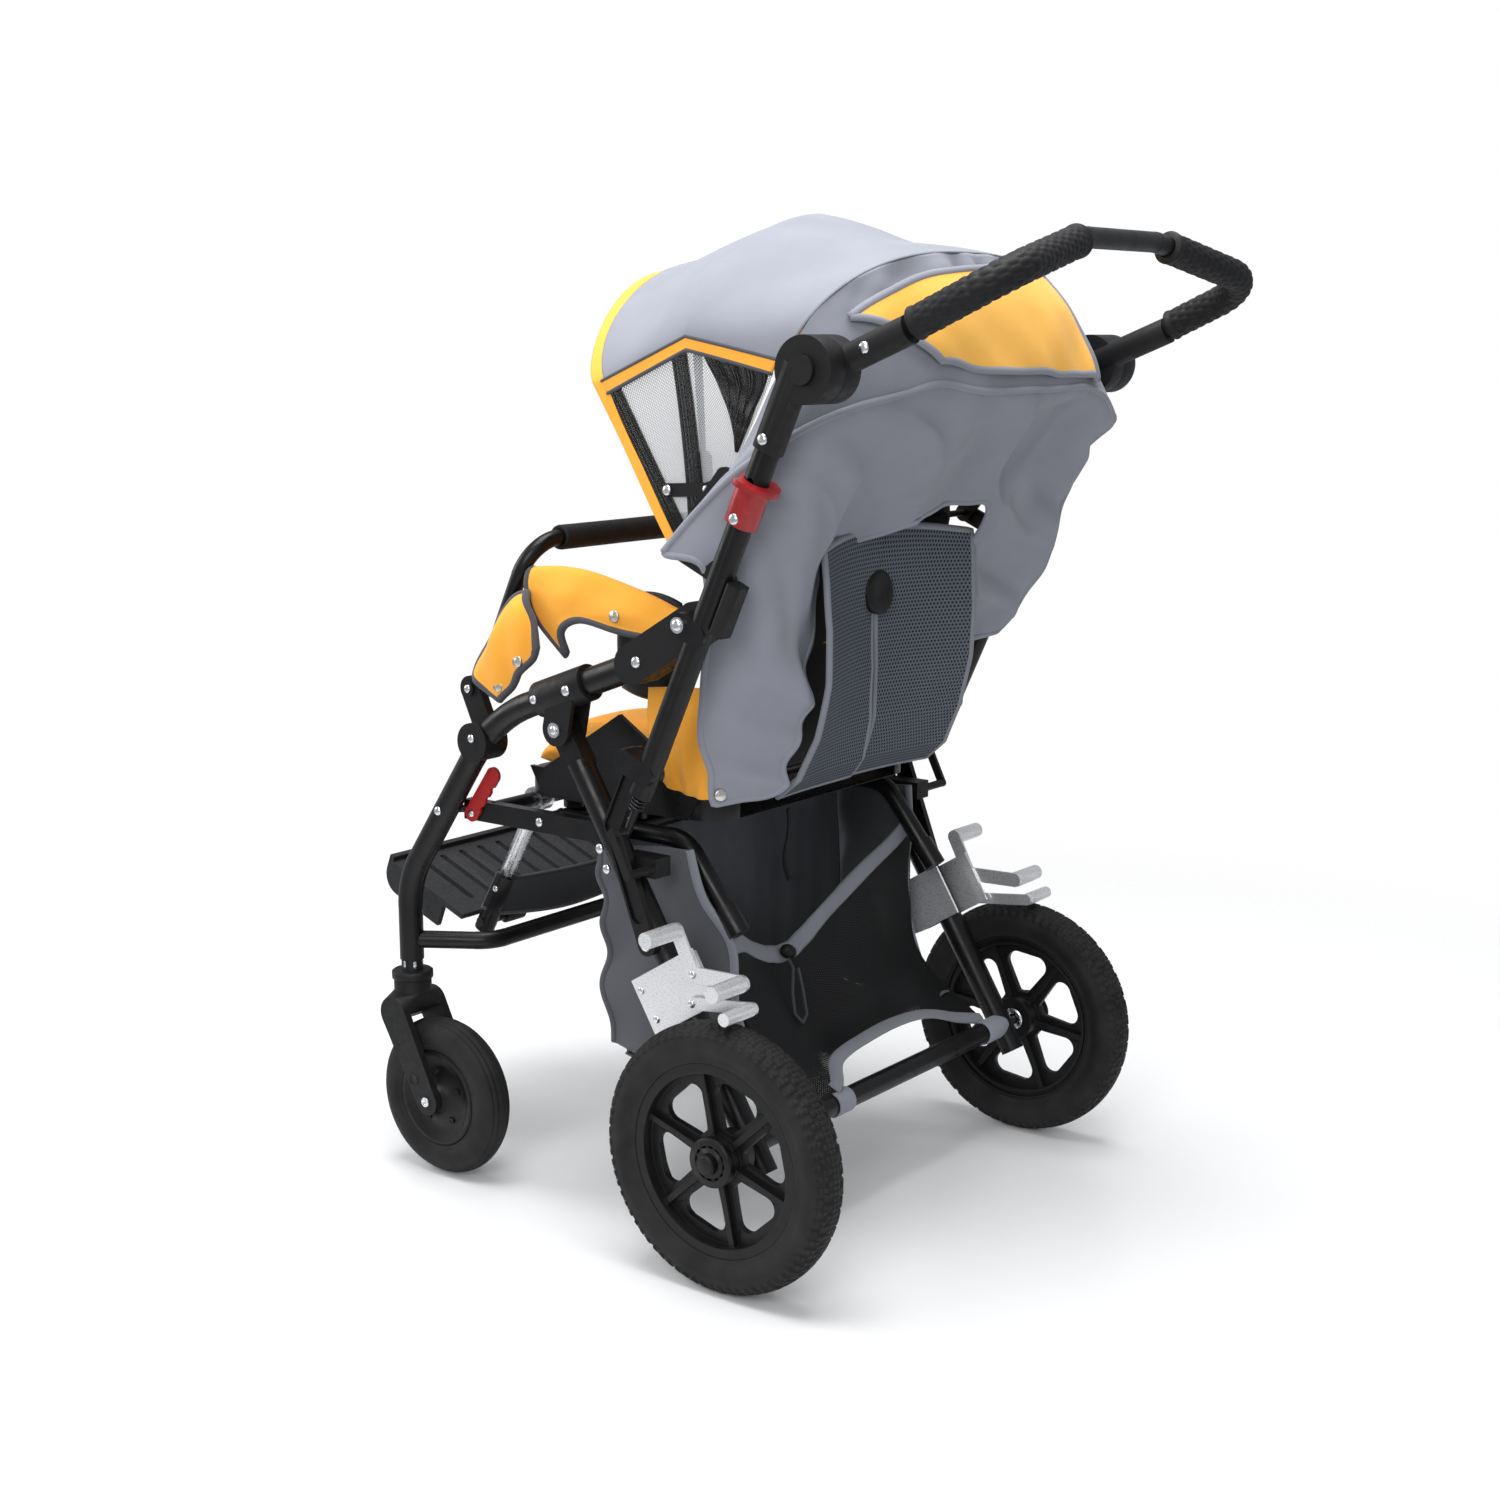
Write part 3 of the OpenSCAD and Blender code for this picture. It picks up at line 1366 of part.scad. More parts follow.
module rear_rim(turn) wheel_place(track / 2, axle_p) rotate(turn) difference() {
  union() {
    rotate_extrude() translate([rim_in_r, -rim_w / 2]) square([rim_r - fit - rim_in_r, rim_w]);
    cylinder(h = wheel_hub_w, d = wheel_hub_d, center = true);
    linear_extrude(spoke_t, center = true) difference() {
      circle(r = rim_in_r + rim_wall / 2);
      for (k = [0:spokes - 1]) rotate(360 * (k + 1 / 2) / spokes) wheel_window();
    }
    for (k = [0:spokes - 1]) rotate(360 * k / spokes)
      translate([wheel_hub_d / 4, -spoke_rib_w / 2, -spoke_rib_t / 2])
        cube([rim_in_r + rim_wall / 2 - wheel_hub_d / 4, spoke_rib_w, spoke_rib_t]);
  }
  cylinder(h = 2 * wheel_hub_w, d = stub_d + 2 * run, center = true);
  for (k = [0:hub_cells - 1]) rotate(360 * (k + 1 / 2) / hub_cells)
    translate([wheel_hub_d / 2 - 2 * cell_w, -cell_w / 2, wheel_hub_w / 2 - cell_deep])
      cube([cell_w * 3 / 2, cell_w, cell_deep + over]);
  rotate_extrude() translate([rim_in_r + rim_wall, -rim_w / 2 - over])
    square([rim_r - rim_in_r - 2 * rim_wall, rim_wall + over]);
}

module rear_rim_left() at_axle() color(black) rear_rim(left_turn);

module rear_rim_right() at_axle() color(black) mirror([1, 0, 0]) rear_rim(right_turn);

// Front wheels
caster_p = [caster_trail - stem_reach, caster_r];

module fork_arm_top(x) slab(x, fork_t) translate([-stem_reach, fork_arm_z]) circle(d = fork_top_d);

module caster_fork() {
  crown_top = fork_crown_low + fork_crown_h;
  outer_x = leg_x + fork_gap / 2;
  inner_x = leg_x - fork_gap / 2 - fork_t;
  difference() {
    union() {
      for (x = [outer_x, inner_x]) slab(x, fork_t) hull() {
        translate([-stem_reach, fork_arm_z]) circle(d = fork_top_d);
        translate(caster_p) circle(d = fork_eye_d);
      }
      hull() {
        fork_arm_top(outer_x);
        fork_arm_top(inner_x);
        translate([leg_x, -stem_reach, fork_crown_low]) cylinder(h = fork_neck_h, d = fork_crown_d);
      }
      translate([leg_x, -stem_reach, fork_crown_low]) cylinder(h = fork_crown_h, d = fork_crown_d);
      translate([leg_x, -stem_reach, crown_top - over])
        cylinder(h = leg_foot_z - gap - crown_top + over, d = collar_d);
      translate([leg_x, -stem_reach, crown_top - over])
        cylinder(h = leg_foot_z - crown_top + stem_in + over, d = stem_d);
    }
    pin_x(caster_p, outer_x - fork_gap, outer_x, 2 * (caster_r + tyre_room));
  }
  pin_x(caster_p, outer_x - fork_gap - over, outer_x + over, caster_axle_d);
}

module caster_fork_left() at_axle() color(black) caster_fork();

module caster_fork_right() at_axle() color(black) mirror([1, 0, 0]) caster_fork();

module caster_tyre() wheel_place(leg_x, caster_p) tyre_form(caster_r, caster_tyre_w, caster_rim_r);

module caster_tyre_left() at_axle() color(black) caster_tyre();

module caster_tyre_right() at_axle() color(black) mirror([1, 0, 0]) caster_tyre();

module caster_rim() wheel_place(leg_x, caster_p) difference() {
  rotate_extrude() {
    translate([caster_axle_d / 2 + run, -caster_hub_w / 2])
      square([caster_hub_d / 2 - caster_axle_d / 2, caster_hub_w]);
    translate([caster_axle_d / 2 + run, -caster_wall])
      square([caster_rim_r - fit - caster_axle_d / 2 - run, 2 * caster_wall]);
    translate([caster_rim_r - fit - caster_wall, -rim_w / 2]) square([caster_wall, rim_w]);
  }
}

module caster_rim_left() at_axle() color(dark) caster_rim();

module caster_rim_right() at_axle() color(dark) mirror([1, 0, 0]) caster_rim();

front_legs();
arm_tubes();
leg_joints();
arm_joints();
hinge_pins();
front_crossbar();
seat_subframe();
seat_shell();
seat_cushion();
side_flaps();
grab_bar_clamps();
seat_latch_left();
seat_latch_right();
grab_bar();
grab_sleeve();
legrest_tubes();
footrest_tubes();
calf_pad();
footplate();
back_tubes();
hub_sockets();
lock_springs();
tube_clips();
hub_button_left();
hub_button_right();
fold_latch_left();
fold_latch_right();
push_bar();
grips();
handle_hubs();
hood_cover();
hood_front_bow();
hood_mid_bow();
hood_stay_front();
hood_stay_rear();
backrest_board();
back_cushion();
mesh_sling();
back_knob();
back_curtain();
rear_legs();
rear_cross_tube();
lock_clips();
brake_brackets();
basket();
fold_struts();
brake_lever_left();
brake_lever_right();
brake_shoe_left();
brake_shoe_right();
rear_tyre_left();
rear_tyre_right();
rear_rim_left();
rear_rim_right();
caster_fork_left();
caster_fork_right();
caster_tyre_left();
caster_tyre_right();
caster_rim_left();
caster_rim_right();
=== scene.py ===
import math

import bmesh
import bpy
import numpy as np
from mathutils import Matrix, Vector


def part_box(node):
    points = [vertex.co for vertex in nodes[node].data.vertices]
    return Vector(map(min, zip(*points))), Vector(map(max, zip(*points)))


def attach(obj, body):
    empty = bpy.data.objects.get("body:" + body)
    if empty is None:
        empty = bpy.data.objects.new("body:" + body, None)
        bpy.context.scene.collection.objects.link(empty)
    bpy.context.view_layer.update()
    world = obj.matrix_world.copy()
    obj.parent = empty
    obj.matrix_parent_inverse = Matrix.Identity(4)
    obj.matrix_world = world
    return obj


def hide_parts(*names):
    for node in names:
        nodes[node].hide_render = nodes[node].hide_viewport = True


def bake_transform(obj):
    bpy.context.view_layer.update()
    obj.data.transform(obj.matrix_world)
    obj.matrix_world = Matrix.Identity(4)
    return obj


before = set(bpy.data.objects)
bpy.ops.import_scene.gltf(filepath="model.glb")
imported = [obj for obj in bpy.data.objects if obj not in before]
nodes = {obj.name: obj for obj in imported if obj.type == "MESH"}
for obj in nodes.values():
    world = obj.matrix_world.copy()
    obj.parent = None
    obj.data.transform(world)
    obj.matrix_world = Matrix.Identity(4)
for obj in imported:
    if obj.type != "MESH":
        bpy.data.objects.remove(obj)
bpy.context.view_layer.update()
scene = bpy.context.scene


# Studio: a pale floor that fades into a white surround and three soft lamps, with the camera
# where the buggy was seen from: behind it, on its left, a little below the push bar.
scene.view_settings.view_transform = "Standard"
camera_lens = bpy.data.cameras.new("camera")
camera_lens.lens = 52.11
camera_lens.sensor_width = 36
camera = bpy.data.objects.new("camera", camera_lens)
camera.location = (2.0412, 1.5292, 1.0124)
camera_aim = Vector((0.0835, 0.0312, 0.5424)) - camera.location
camera.rotation_euler = camera_aim.to_track_quat("-Z", "Y").to_euler()
scene.collection.objects.link(camera)
scene.camera = camera

for lamp_name, lamp_place, lamp_size, lamp_power in (
    ("overhead_lamp", (0.2, 0.1, 3.0), 2.0, 92),
    ("back_left_lamp", (2.8, 1.2, 1.9), 1.4, 40),
    ("front_lamp", (1.2, -2.8, 1.7), 1.8, 34),
):
    lamp_light = bpy.data.lights.new(lamp_name, "AREA")
    lamp_light.size = lamp_size
    lamp_light.energy = lamp_power
    lamp = bpy.data.objects.new(lamp_name, lamp_light)
    lamp.location = lamp_place
    lamp.rotation_euler = (Vector((0, 0, 0.5)) - lamp.location).to_track_quat("-Z", "Y").to_euler()
    scene.collection.objects.link(lamp)


def wired(tree, kind, feeds=(), fixed=(), operation=None):
    """A shader node whose sockets are fed by other nodes or fixed at a value."""
    made = tree.nodes.new("ShaderNode" + kind)
    if operation:
        made.operation = operation
    for socket, value in fixed:
        made.inputs[socket].default_value = value
    for socket, source in feeds:
        tree.links.new(getattr(source, "outputs", [source])[0], made.inputs[socket])
    return made


world = bpy.data.worlds.new("surround")
world.use_nodes = True
scene.world = world
sky = world.node_tree
sky_light = sky.nodes["Background"]
sky_light.inputs["Color"].default_value = (0.95, 0.97, 1, 1)
sky_light.inputs["Strength"].default_value = 0.48
sky_seen = wired(sky, "Background", fixed=[("Color", (1, 1, 1, 1))])
sky_rays = wired(sky, "LightPath").outputs
sky_any = wired(sky, "Math", [(0, sky_rays["Is Camera Ray"]), (1, sky_rays["Is Transmission Ray"])],
                operation="MAXIMUM")
sky_mix = wired(sky, "MixShader", [(0, sky_any), (1, sky_light), (2, sky_seen)])
sky.links.new(sky_mix.outputs[0], sky.nodes["World Output"].inputs["Surface"])

floor_form = bmesh.new()
bmesh.ops.create_circle(floor_form, cap_ends=True, radius=5, segments=96)
floor_mesh = bpy.data.meshes.new("floor")
floor_form.to_mesh(floor_mesh)
floor_form.free()
floor = bpy.data.objects.new("floor", floor_mesh)
scene.collection.objects.link(floor)
floor_paint = bpy.data.materials.new("pale_floor")
floor_paint.use_nodes = True
floor_tree = floor_paint.node_tree
floor_shader = floor_tree.nodes["Principled BSDF"]
floor_shader.inputs["Base Color"].default_value = (0.93, 0.935, 0.94, 1)
floor_shader.inputs["Roughness"].default_value = 0.32
floor_place = wired(floor_tree, "TexCoord").outputs["Object"]
floor_reach = wired(floor_tree, "VectorMath", [(0, floor_place)], operation="LENGTH").outputs["Value"]
floor_fade = wired(floor_tree, "MapRange", [("Value", floor_reach)], [("From Min", 0.55), ("From Max", 1.9)])
floor_clear = wired(floor_tree, "BsdfTransparent")
floor_mix = wired(floor_tree, "MixShader", [(0, floor_fade), (1, floor_shader), (2, floor_clear)])
floor_tree.links.new(floor_mix.outputs[0], floor_tree.nodes["Material Output"].inputs["Surface"])
floor.data.materials.append(floor_paint)


# Tube frame: bent steel tubes with a satin black powder coat, welded and riveted together.
# They are the CAD tubes; the coat has a fine orange peel and slightly uneven gloss.
def noise_on(paint, scale, detail=2.0, stretch=(1, 1, 1)):
    tree = paint.node_tree
    place = wired(tree, "TexCoord").outputs["Object"]
    turn = wired(tree, "Mapping", [("Vector", place)], [("Scale", stretch)])
    return wired(tree, "TexNoise", [("Vector", turn)], [("Scale", scale), ("Detail", detail)]).outputs["Fac"]


def bump_from(paint, height, strength, distance):
    tree = paint.node_tree
    bump = wired(tree, "Bump", [("Height", height)], [("Strength", strength), ("Distance", distance)])
    tree.links.new(bump.outputs["Normal"], tree.nodes["Principled BSDF"].inputs["Normal"])


def ramp_to(paint, value, socket, low, high, start=0.35, end=0.65):
    tree = paint.node_tree
    if socket == "Base Color":
        ramp = wired(tree, "ValToRGB", [(0, value)])
        for stop, place, colour in zip(ramp.color_ramp.elements, (start, end), (low, high)):
            stop.position = place
            stop.color = (*colour, 1)
    else:
        ramp = wired(tree, "MapRange", [("Value", value)],
                     [("From Min", start), ("From Max", end), ("To Min", low), ("To Max", high)])
    tree.links.new(ramp.outputs[0], tree.nodes["Principled BSDF"].inputs[socket])


def surface(name, colour, roughness, metallic=0.0, shine=0.5, gloss=None, grain=None):
    """A paint. gloss: noise scale, detail and the roughness it varies by; grain: the bump's."""
    paint = bpy.data.materials.new(name)
    paint.use_nodes = True
    shader = paint.node_tree.nodes["Principled BSDF"]
    shader.inputs["Base Color"].default_value = (*colour, 1)
    shader.inputs["Roughness"].default_value = roughness
    shader.inputs["Metallic"].default_value = metallic
    shader.inputs["Specular IOR Level"].default_value = shine
    if gloss:
        ramp_to(paint, noise_on(paint, *gloss[:2]), "Roughness", *gloss[2:])
    if grain:
        bump_from(paint, noise_on(paint, *grain[:2]), *grain[2:])
    return paint


def dress(names, paint, edge=0.0):
    for name in names.split():
        part = nodes[name]
        part.data.materials.clear()
        part.data.materials.append(paint)
        if edge:
            weld = part.modifiers.new("weld", "WELD")
            weld.merge_threshold = 0.00002
            round_edge = part.modifiers.new("edge", "BEVEL")
            round_edge.width = edge
            round_edge.segments = 2
            round_edge.limit_method = "ANGLE"
            round_edge.angle_limit = math.radians(40)


powder_coat = surface("powder_coat", (0.0052, 0.0052, 0.0058), 0.34, 0, 0.26,
                      gloss=(55, 2, 0.27, 0.4), grain=(900, 2, 0.06, 0.0006))
dress("front_legs arm_tubes front_crossbar seat_subframe grab_bar footrest_tubes back_tubes push_bar "
      "rear_legs rear_cross_tube hood_front_bow hood_mid_bow fold_struts", powder_coat)


# Moulded joints: glass-filled black plastic sleeves, hubs, clips and forks with a fine spark
# grain, screwed or riveted onto the tubes. Their edges are softened as a mould leaves them.
moulded_black = surface("moulded_black", (0.0075, 0.0075, 0.0082), 0.52, 0, 0.24,
                        gloss=(120, 2, 0.46, 0.6), grain=(1600, 4, 0.16, 0.0005))
dress("leg_joints arm_joints grab_bar_clamps hub_sockets tube_clips hub_button_left hub_button_right "
      "handle_hubs hood_stay_front hood_stay_rear back_knob lock_clips", moulded_black, 0.0014)
dress("caster_fork_left caster_fork_right", moulded_black, 0.003)
shell_black = surface("shell_black", (0.009, 0.009, 0.01), 0.3, 0, 0.26,
                      gloss=(40, 2, 0.24, 0.36), grain=(700, 2, 0.05, 0.0005))
dress("seat_shell backrest_board", shell_black, 0.002)


# Red controls: the sliding collars on the back tubes that release the fold, moulded in glossy
# red plastic, and the notched red plates that hold the seat, which are powder coated steel.
release_red = surface("release_red", (0.3, 0.01, 0.012), 0.33, 0, 0.4,
                      grain=(1200, 2, 0.08, 0.0005))
ramp_to(release_red, noise_on(release_red, 90), "Base Color", (0.25, 0.008, 0.01), (0.33, 0.013, 0.015))
dress("fold_latch_left fold_latch_right", release_red, 0.0012)
plate_red = surface("plate_red", (0.36, 0.011, 0.013), 0.38, 0, 0.4,
                    gloss=(60, 2, 0.32, 0.44), grain=(800, 2, 0.07, 0.0005))
dress("seat_latch_left seat_latch_right", plate_red, 0.0008)


# Rivets and screws: zinc plated domed heads at every pivot and bracket, a little uneven in
# gloss. Those of one moving part are one piece; each is turned from a short profile.
bright_zinc = surface("bright_zinc", (0.66, 0.67, 0.69), 0.25, 1, 0.5,
                      gloss=(300, 2, 0.16, 0.36), grain=(1400, 2, 0.1, 0.0003))
dress("hinge_pins legrest_tubes", bright_zinc, 0.0006)


axle_y = 170  # the rear axle in the frame, in millimetres
weld_reach = 0.00001


def row(x, y, z):
    """A place in millimetres from the floor under the rear axle, in the frame's metres."""
    return Vector((x / 1000, (y + axle_y) / 1000, z / 1000))


def mirrored(side, *lines):
    """Rows of places on one side of the buggy: 1 keeps them, -1 mirrors them."""
    return [[row(side * x, y, z) for x, y, z in line] for line in lines]


def new_piece(name, form, paint, body):
    mesh = bpy.data.meshes.new(name)
    form.to_mesh(mesh)
    form.free()
    mesh.materials.append(paint)
    mesh.polygons.foreach_set("use_smooth", [True] * len(mesh.polygons))
    piece = bpy.data.objects.new(name, mesh)
    scene.collection.objects.link(piece)
    if body:
        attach(piece, body)
    return piece


def turned(form, profile, place, axis, steps=24):
    """Adds a lathe-turned solid: profile holds (radius, height) in millimetres along axis."""
    before = set(form.verts)
    verts = [form.verts.new((r / 1000, 0, h / 1000)) for r, h in profile]
    edges = [form.edges.new(pair) for pair in zip(verts, verts[1:])]
    bmesh.ops.spin(form, geom=verts + edges, axis=(0, 0, 1), cent=(0, 0, 0), angle=math.tau, steps=steps,
                   use_merge=True)
    grown = [v for v in form.verts if v not in before]
    bmesh.ops.remove_doubles(form, verts=grown, dist=weld_reach)
    grown = [v for v in grown if v.is_valid]
    faces = list({f for v in grown for f in v.link_faces})
    bmesh.ops.recalc_face_normals(form, faces=faces)
    turn = Vector(axis).to_track_quat("Z", "Y").to_matrix().to_4x4()
    bmesh.ops.transform(form, matrix=Matrix.Translation(place) @ turn, verts=grown)


def lathed(name, paint, body, slot, *solids):
    """A piece of turned solids, each a profile, a place, an axis and its steps round."""
    form = bmesh.new()
    for solid in solids:
        turned(form, *solid)
    return new_piece(name, form, paint, body)


def rivet_profile(radius, height):
    return [(0, height), (radius * 0.45, height * 0.95), (radius * 0.8, height * 0.68), (radius, height * 0.25),
            (radius, -0.8), (0, -0.8)]


def bolt_profile(radius, height):
    return [(0, height * 0.45), (radius * 0.42, height * 0.45), (radius * 0.5, height), (radius * 0.86, height),
            (radius, height * 0.75), (radius, -0.8), (0, -0.8)]


both_sides = ((1, "left"), (-1, "right"))
rivets = {
    "front_frame": [(314.3, -58, 718, 6.5), (281.4, -264, 580, 5.2), (283.2, -243, 627, 6), (287, -137, 669, 6.5),
                    (283, -292, 612, 5), (265, -467, 458, 5.5), (245.6, -432, 606, 5), (268.9, -405, 553, 5),
                    (240.4, -436, 455, 4.5), (236.2, -330, 458, 5.5), (236.2, -225, 458, 5.5),
                    (211.2, -142, 440, 5), (211.2, -118, 421, 5)],
    "rear_frame": [(277.2, -201, 453, 5.5), (277.2, -191, 431, 5.5), (287.5, -126.5, 356, 6.5),
                   (280.2, -140, 301, 4.5), (280.2, -118, 272, 4.5), (283.8, -64, 334, 4.5), (287.2, -63, 302, 4.5),
                   (275, -9, 163, 5)],
    "fold_strut": [(288.6, -137, 565, 6.5)],
    "back_frame": [(314.1, 53, 912, 6)],
    "push_handle": [(284.3, 153, 1001.5, 6)],
    "stay_front": [(249.5, -123, 851, 6), (249.8, -68, 854, 6.5)],
    "stay_rear": [(252.4, -20, 870, 6)],
    "footrest": [(162.6, -475, 341, 4.5)],
}
for rivet_body, rivet_places in rivets.items():
    lathed("rivets_" + rivet_body, bright_zinc, rivet_body, "steel",
           *((rivet_profile(r, r * 0.5), row(side * x, y, z), (side, 0, 0), 20)
             for x, y, z, r in rivet_places for side in (1, -1)))
collar_foot = 0.79  # below it the latch is a black plunger
for side, side_name in both_sides:
    latch = "fold_latch_" + side_name
    lathed("rivet_collar_" + side_name, bright_zinc, latch, "steel",
           (rivet_profile(6, 2.6), row(side * 315.6, 17.9, 831.6), (side, 0, 0), 20))
    plunger = nodes[latch].data
    plunger.materials.append(powder_coat)
    for face in plunger.polygons:
        face.material_index = 1 if face.center.z < collar_foot else 0


# Lock springs: a dark wire coil below each back tube that drives the lock plunger home.
# Each is one wire wound round the plunger with flat, closed ends.
spring_wire = surface("spring_wire", (0.05, 0.05, 0.055), 0.35, 1, 0.5,
                      gloss=(400, 2, 0.25, 0.45))
back_up = Vector((0, 0.41469, 0.90996))
back_fore = Vector((0, -0.90996, 0.41469))
spring_top = row(0, -58, 718) + back_up * -0.1995 - back_fore * 0.022
coil_radius, coil_length, coil_steps = Vector((0.0072, 0, 0)), 0.0174, 112
spring_form = bmesh.new()
for side in (1, -1):
    ring = bmesh.ops.create_circle(spring_form, segments=10, radius=0.0013)["verts"]
    start = spring_top + Vector((side * 0.3, 0, 0)) + coil_radius
    stand = Matrix.Translation(start) @ back_fore.to_track_quat("Z", "Y").to_matrix().to_4x4()
    bmesh.ops.transform(spring_form, matrix=stand, verts=ring)
    ring_edges = list({e for v in ring for e in v.link_edges})
    bmesh.ops.spin(spring_form, geom=ring + ring_edges, axis=back_up, cent=start - coil_radius,
                   dvec=-back_up * coil_length / coil_steps, angle=math.tau * 4, steps=coil_steps)
bmesh.ops.recalc_face_normals(spring_form, faces=spring_form.faces)
springs = new_piece("lock_coils", spring_form, spring_wire, "back_frame")
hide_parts("lock_springs")


# Rear wheels: twelve inch pneumatic tyres with a block tread and ringed sidewalls on moulded
# black rims with six ribbed spokes. A black cap covers the axle end and its washer.
tyre_rubber = surface("tyre_rubber", (0.012, 0.0118, 0.0115), 0.68, 0, 0.24,
                      grain=(700, 3, 0.14, 0.0006))
ramp_to(tyre_rubber, noise_on(tyre_rubber, 30, 4), "Base Color", (0.009, 0.0088, 0.0086), (0.017, 0.0166, 0.016))
rim_black = surface("rim_black", (0.0065, 0.0065, 0.007), 0.45, 0, 0.24,
                    gloss=(70, 2, 0.38, 0.52), grain=(1300, 3, 0.1, 0.0005))
dress("rear_rim_left rear_rim_right", rim_black, 0.0022)

rear_half = [(107.8, 17), (111, 18.6), (113.2, 18.8), (114.2, 20.2), (116.6, 20.8), (117.6, 22.2), (120.4, 22.7),
             (121.3, 23.7), (124, 24.1), (125, 24.6), (129, 24.5), (133.5, 23.8), (137.2, 22.6), (140.6, 20.6),
             (144.4, 16.4), (146.6, 11.2), (147.9, 5.6)]
rear_profile = rear_half + [(148.2, 0)] + [(r, -w) for r, w in reversed(rear_half)]
tread_steps, tread_from, tread_band = 150, 0.1375, 5.4
for side, side_name in both_sides:
    tyre_form = bmesh.new()
    wheel, wheel_mid, outward = "rear_wheel_" + side_name, row(side * 313, 0, 150), (side, 0, 0)
    turned(tyre_form, rear_profile, wheel_mid, outward, tread_steps)
    tread = []
    for face in tyre_form.faces:
        spot = face.calc_center_median() - wheel_mid
        reach = math.hypot(spot.y, spot.z)
        if reach < tread_from:
            continue
        step = int(round((math.atan2(spot.z, spot.y) / math.tau % 1) * tread_steps - 0.5))
        band = int(abs(spot.x) * 1000 // tread_band)
        if band >= 3 and step % 2 == 0 or band == 2 and step % 3 != 1 or band == 1 and step % 2 or band == 0:
            tread.append(face)
    bmesh.ops.inset_individual(tyre_form, faces=tread, thickness=0.0007, depth=0.0016)
    tyre = new_piece("tyre_rear_" + side_name, tyre_form, tyre_rubber, wheel)
    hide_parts("rear_tyre_" + side_name)
    lathed("hub_trim_" + side_name, rim_black, wheel, "black_plastic",
           ([(0, 33.2), (8, 33.2), (10.6, 31.8), (11.4, 28), (11.4, 23), (17, 22.8), (17.4, 21), (0, 21)],
            wheel_mid, outward, 32),
           ([(19.6, 22.6), (27.2, 22.6), (27.8, 21), (27.8, 16), (19, 16)], wheel_mid, outward, 48))
    lathed("bearing_" + side_name, bright_zinc, wheel, "steel",
           ([(7, -22.4), (13.5, -22.6), (14, -21.4), (14, -20), (7, -20)], wheel_mid, outward, 32))


# Front wheels: smaller tyres with three grooves round the crown on two-part disc rims that are
# screwed together, in moulded forks that swivel below a plated nut.
caster_half = [(59.8, 17), (62, 19), (64.5, 19.2), (66, 20.6), (70, 22), (75, 22.5), (80, 22.1), (85, 20.4),
               (89.5, 17.2), (92, 14.4), (92.6, 13.2), (91.6, 12.6), (92.2, 11.8), (94.6, 10.2), (96, 7.4),
               (95.2, 6.8), (95.8, 6), (97.4, 3.4)]
caster_profile = caster_half + [(97.8, 0)] + [(r, -w) for r, w in reversed(caster_half)]
disc_profile = [(17.5, 24.5), (19, 22), (22, 15.5), (40, 12), (44, 14), (50, 15), (54, 18.4), (58.4, 18.6),
                (59.6, 17), (59.6, 10), (17.5, 10)]
nut_profile = [(0, 12.5), (12.4, 12.5), (13.9, 11), (13.9, 2), (12.4, 0), (0, 0)]
dimple_profile = [(0, 0.25), (6.2, 0.25), (7.4, 0.9), (8.2, 0.25), (8.2, -0.6), (0, -0.6)]
fork_rim_profile = [(23.2, 0), (25.2, 1.2), (25.2, 9.5), (23.2, 11), (22.6, 11), (22.6, 0)]
fork_half, screw_ring = 0.0355, 0.033
for side, side_name in both_sides:
    wheel, fork = "caster_wheel_" + side_name, "caster_" + side_name
    caster_mid = row(side * 250, -480, 98)
    both_ways = [Vector((side * way, 0, 0)) for way in (1, -1)]
    tyre = lathed("tyre_front_" + side_name, tyre_rubber, wheel, "tyre", (caster_profile, caster_mid, both_ways[0], 96))
    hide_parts("caster_tyre_" + side_name)
    lathed("disc_" + side_name, rim_black, wheel, "black_plastic",
           *((disc_profile, caster_mid, way, 64) for way in both_ways))
    screws = []
    for k in range(5):
        turn_at = math.tau * (k + 0.3) / 5
        ring_spot = caster_mid + Vector((0, screw_ring * math.cos(turn_at), screw_ring * math.sin(turn_at)))
        screws += [(bolt_profile(4.2, 3.4), ring_spot + way * 0.0122, way, 16) for way in both_ways]
    lathed("disc_screws_" + side_name, rim_black, wheel, "black_plastic", *screws)
    lathed("fork_bolts_" + side_name, bright_zinc, fork, "steel",
           *((bolt_profile(6, 3), caster_mid + way * fork_half, way, 20) for way in both_ways),
           (nut_profile, row(side * 250, -534, 249), (0, 0, 1), 6))
    lathed("fork_trim_" + side_name, moulded_black, fork, "black_plastic",
           *((dimple_profile, row(side * 250, -501, 122) + way * fork_half, way, 24) for way in both_ways),
           (fork_rim_profile, row(side * 250, -534, 237), (0, 0, 1), 48))
dress("caster_rim_left caster_rim_right", rim_black, 0.001)


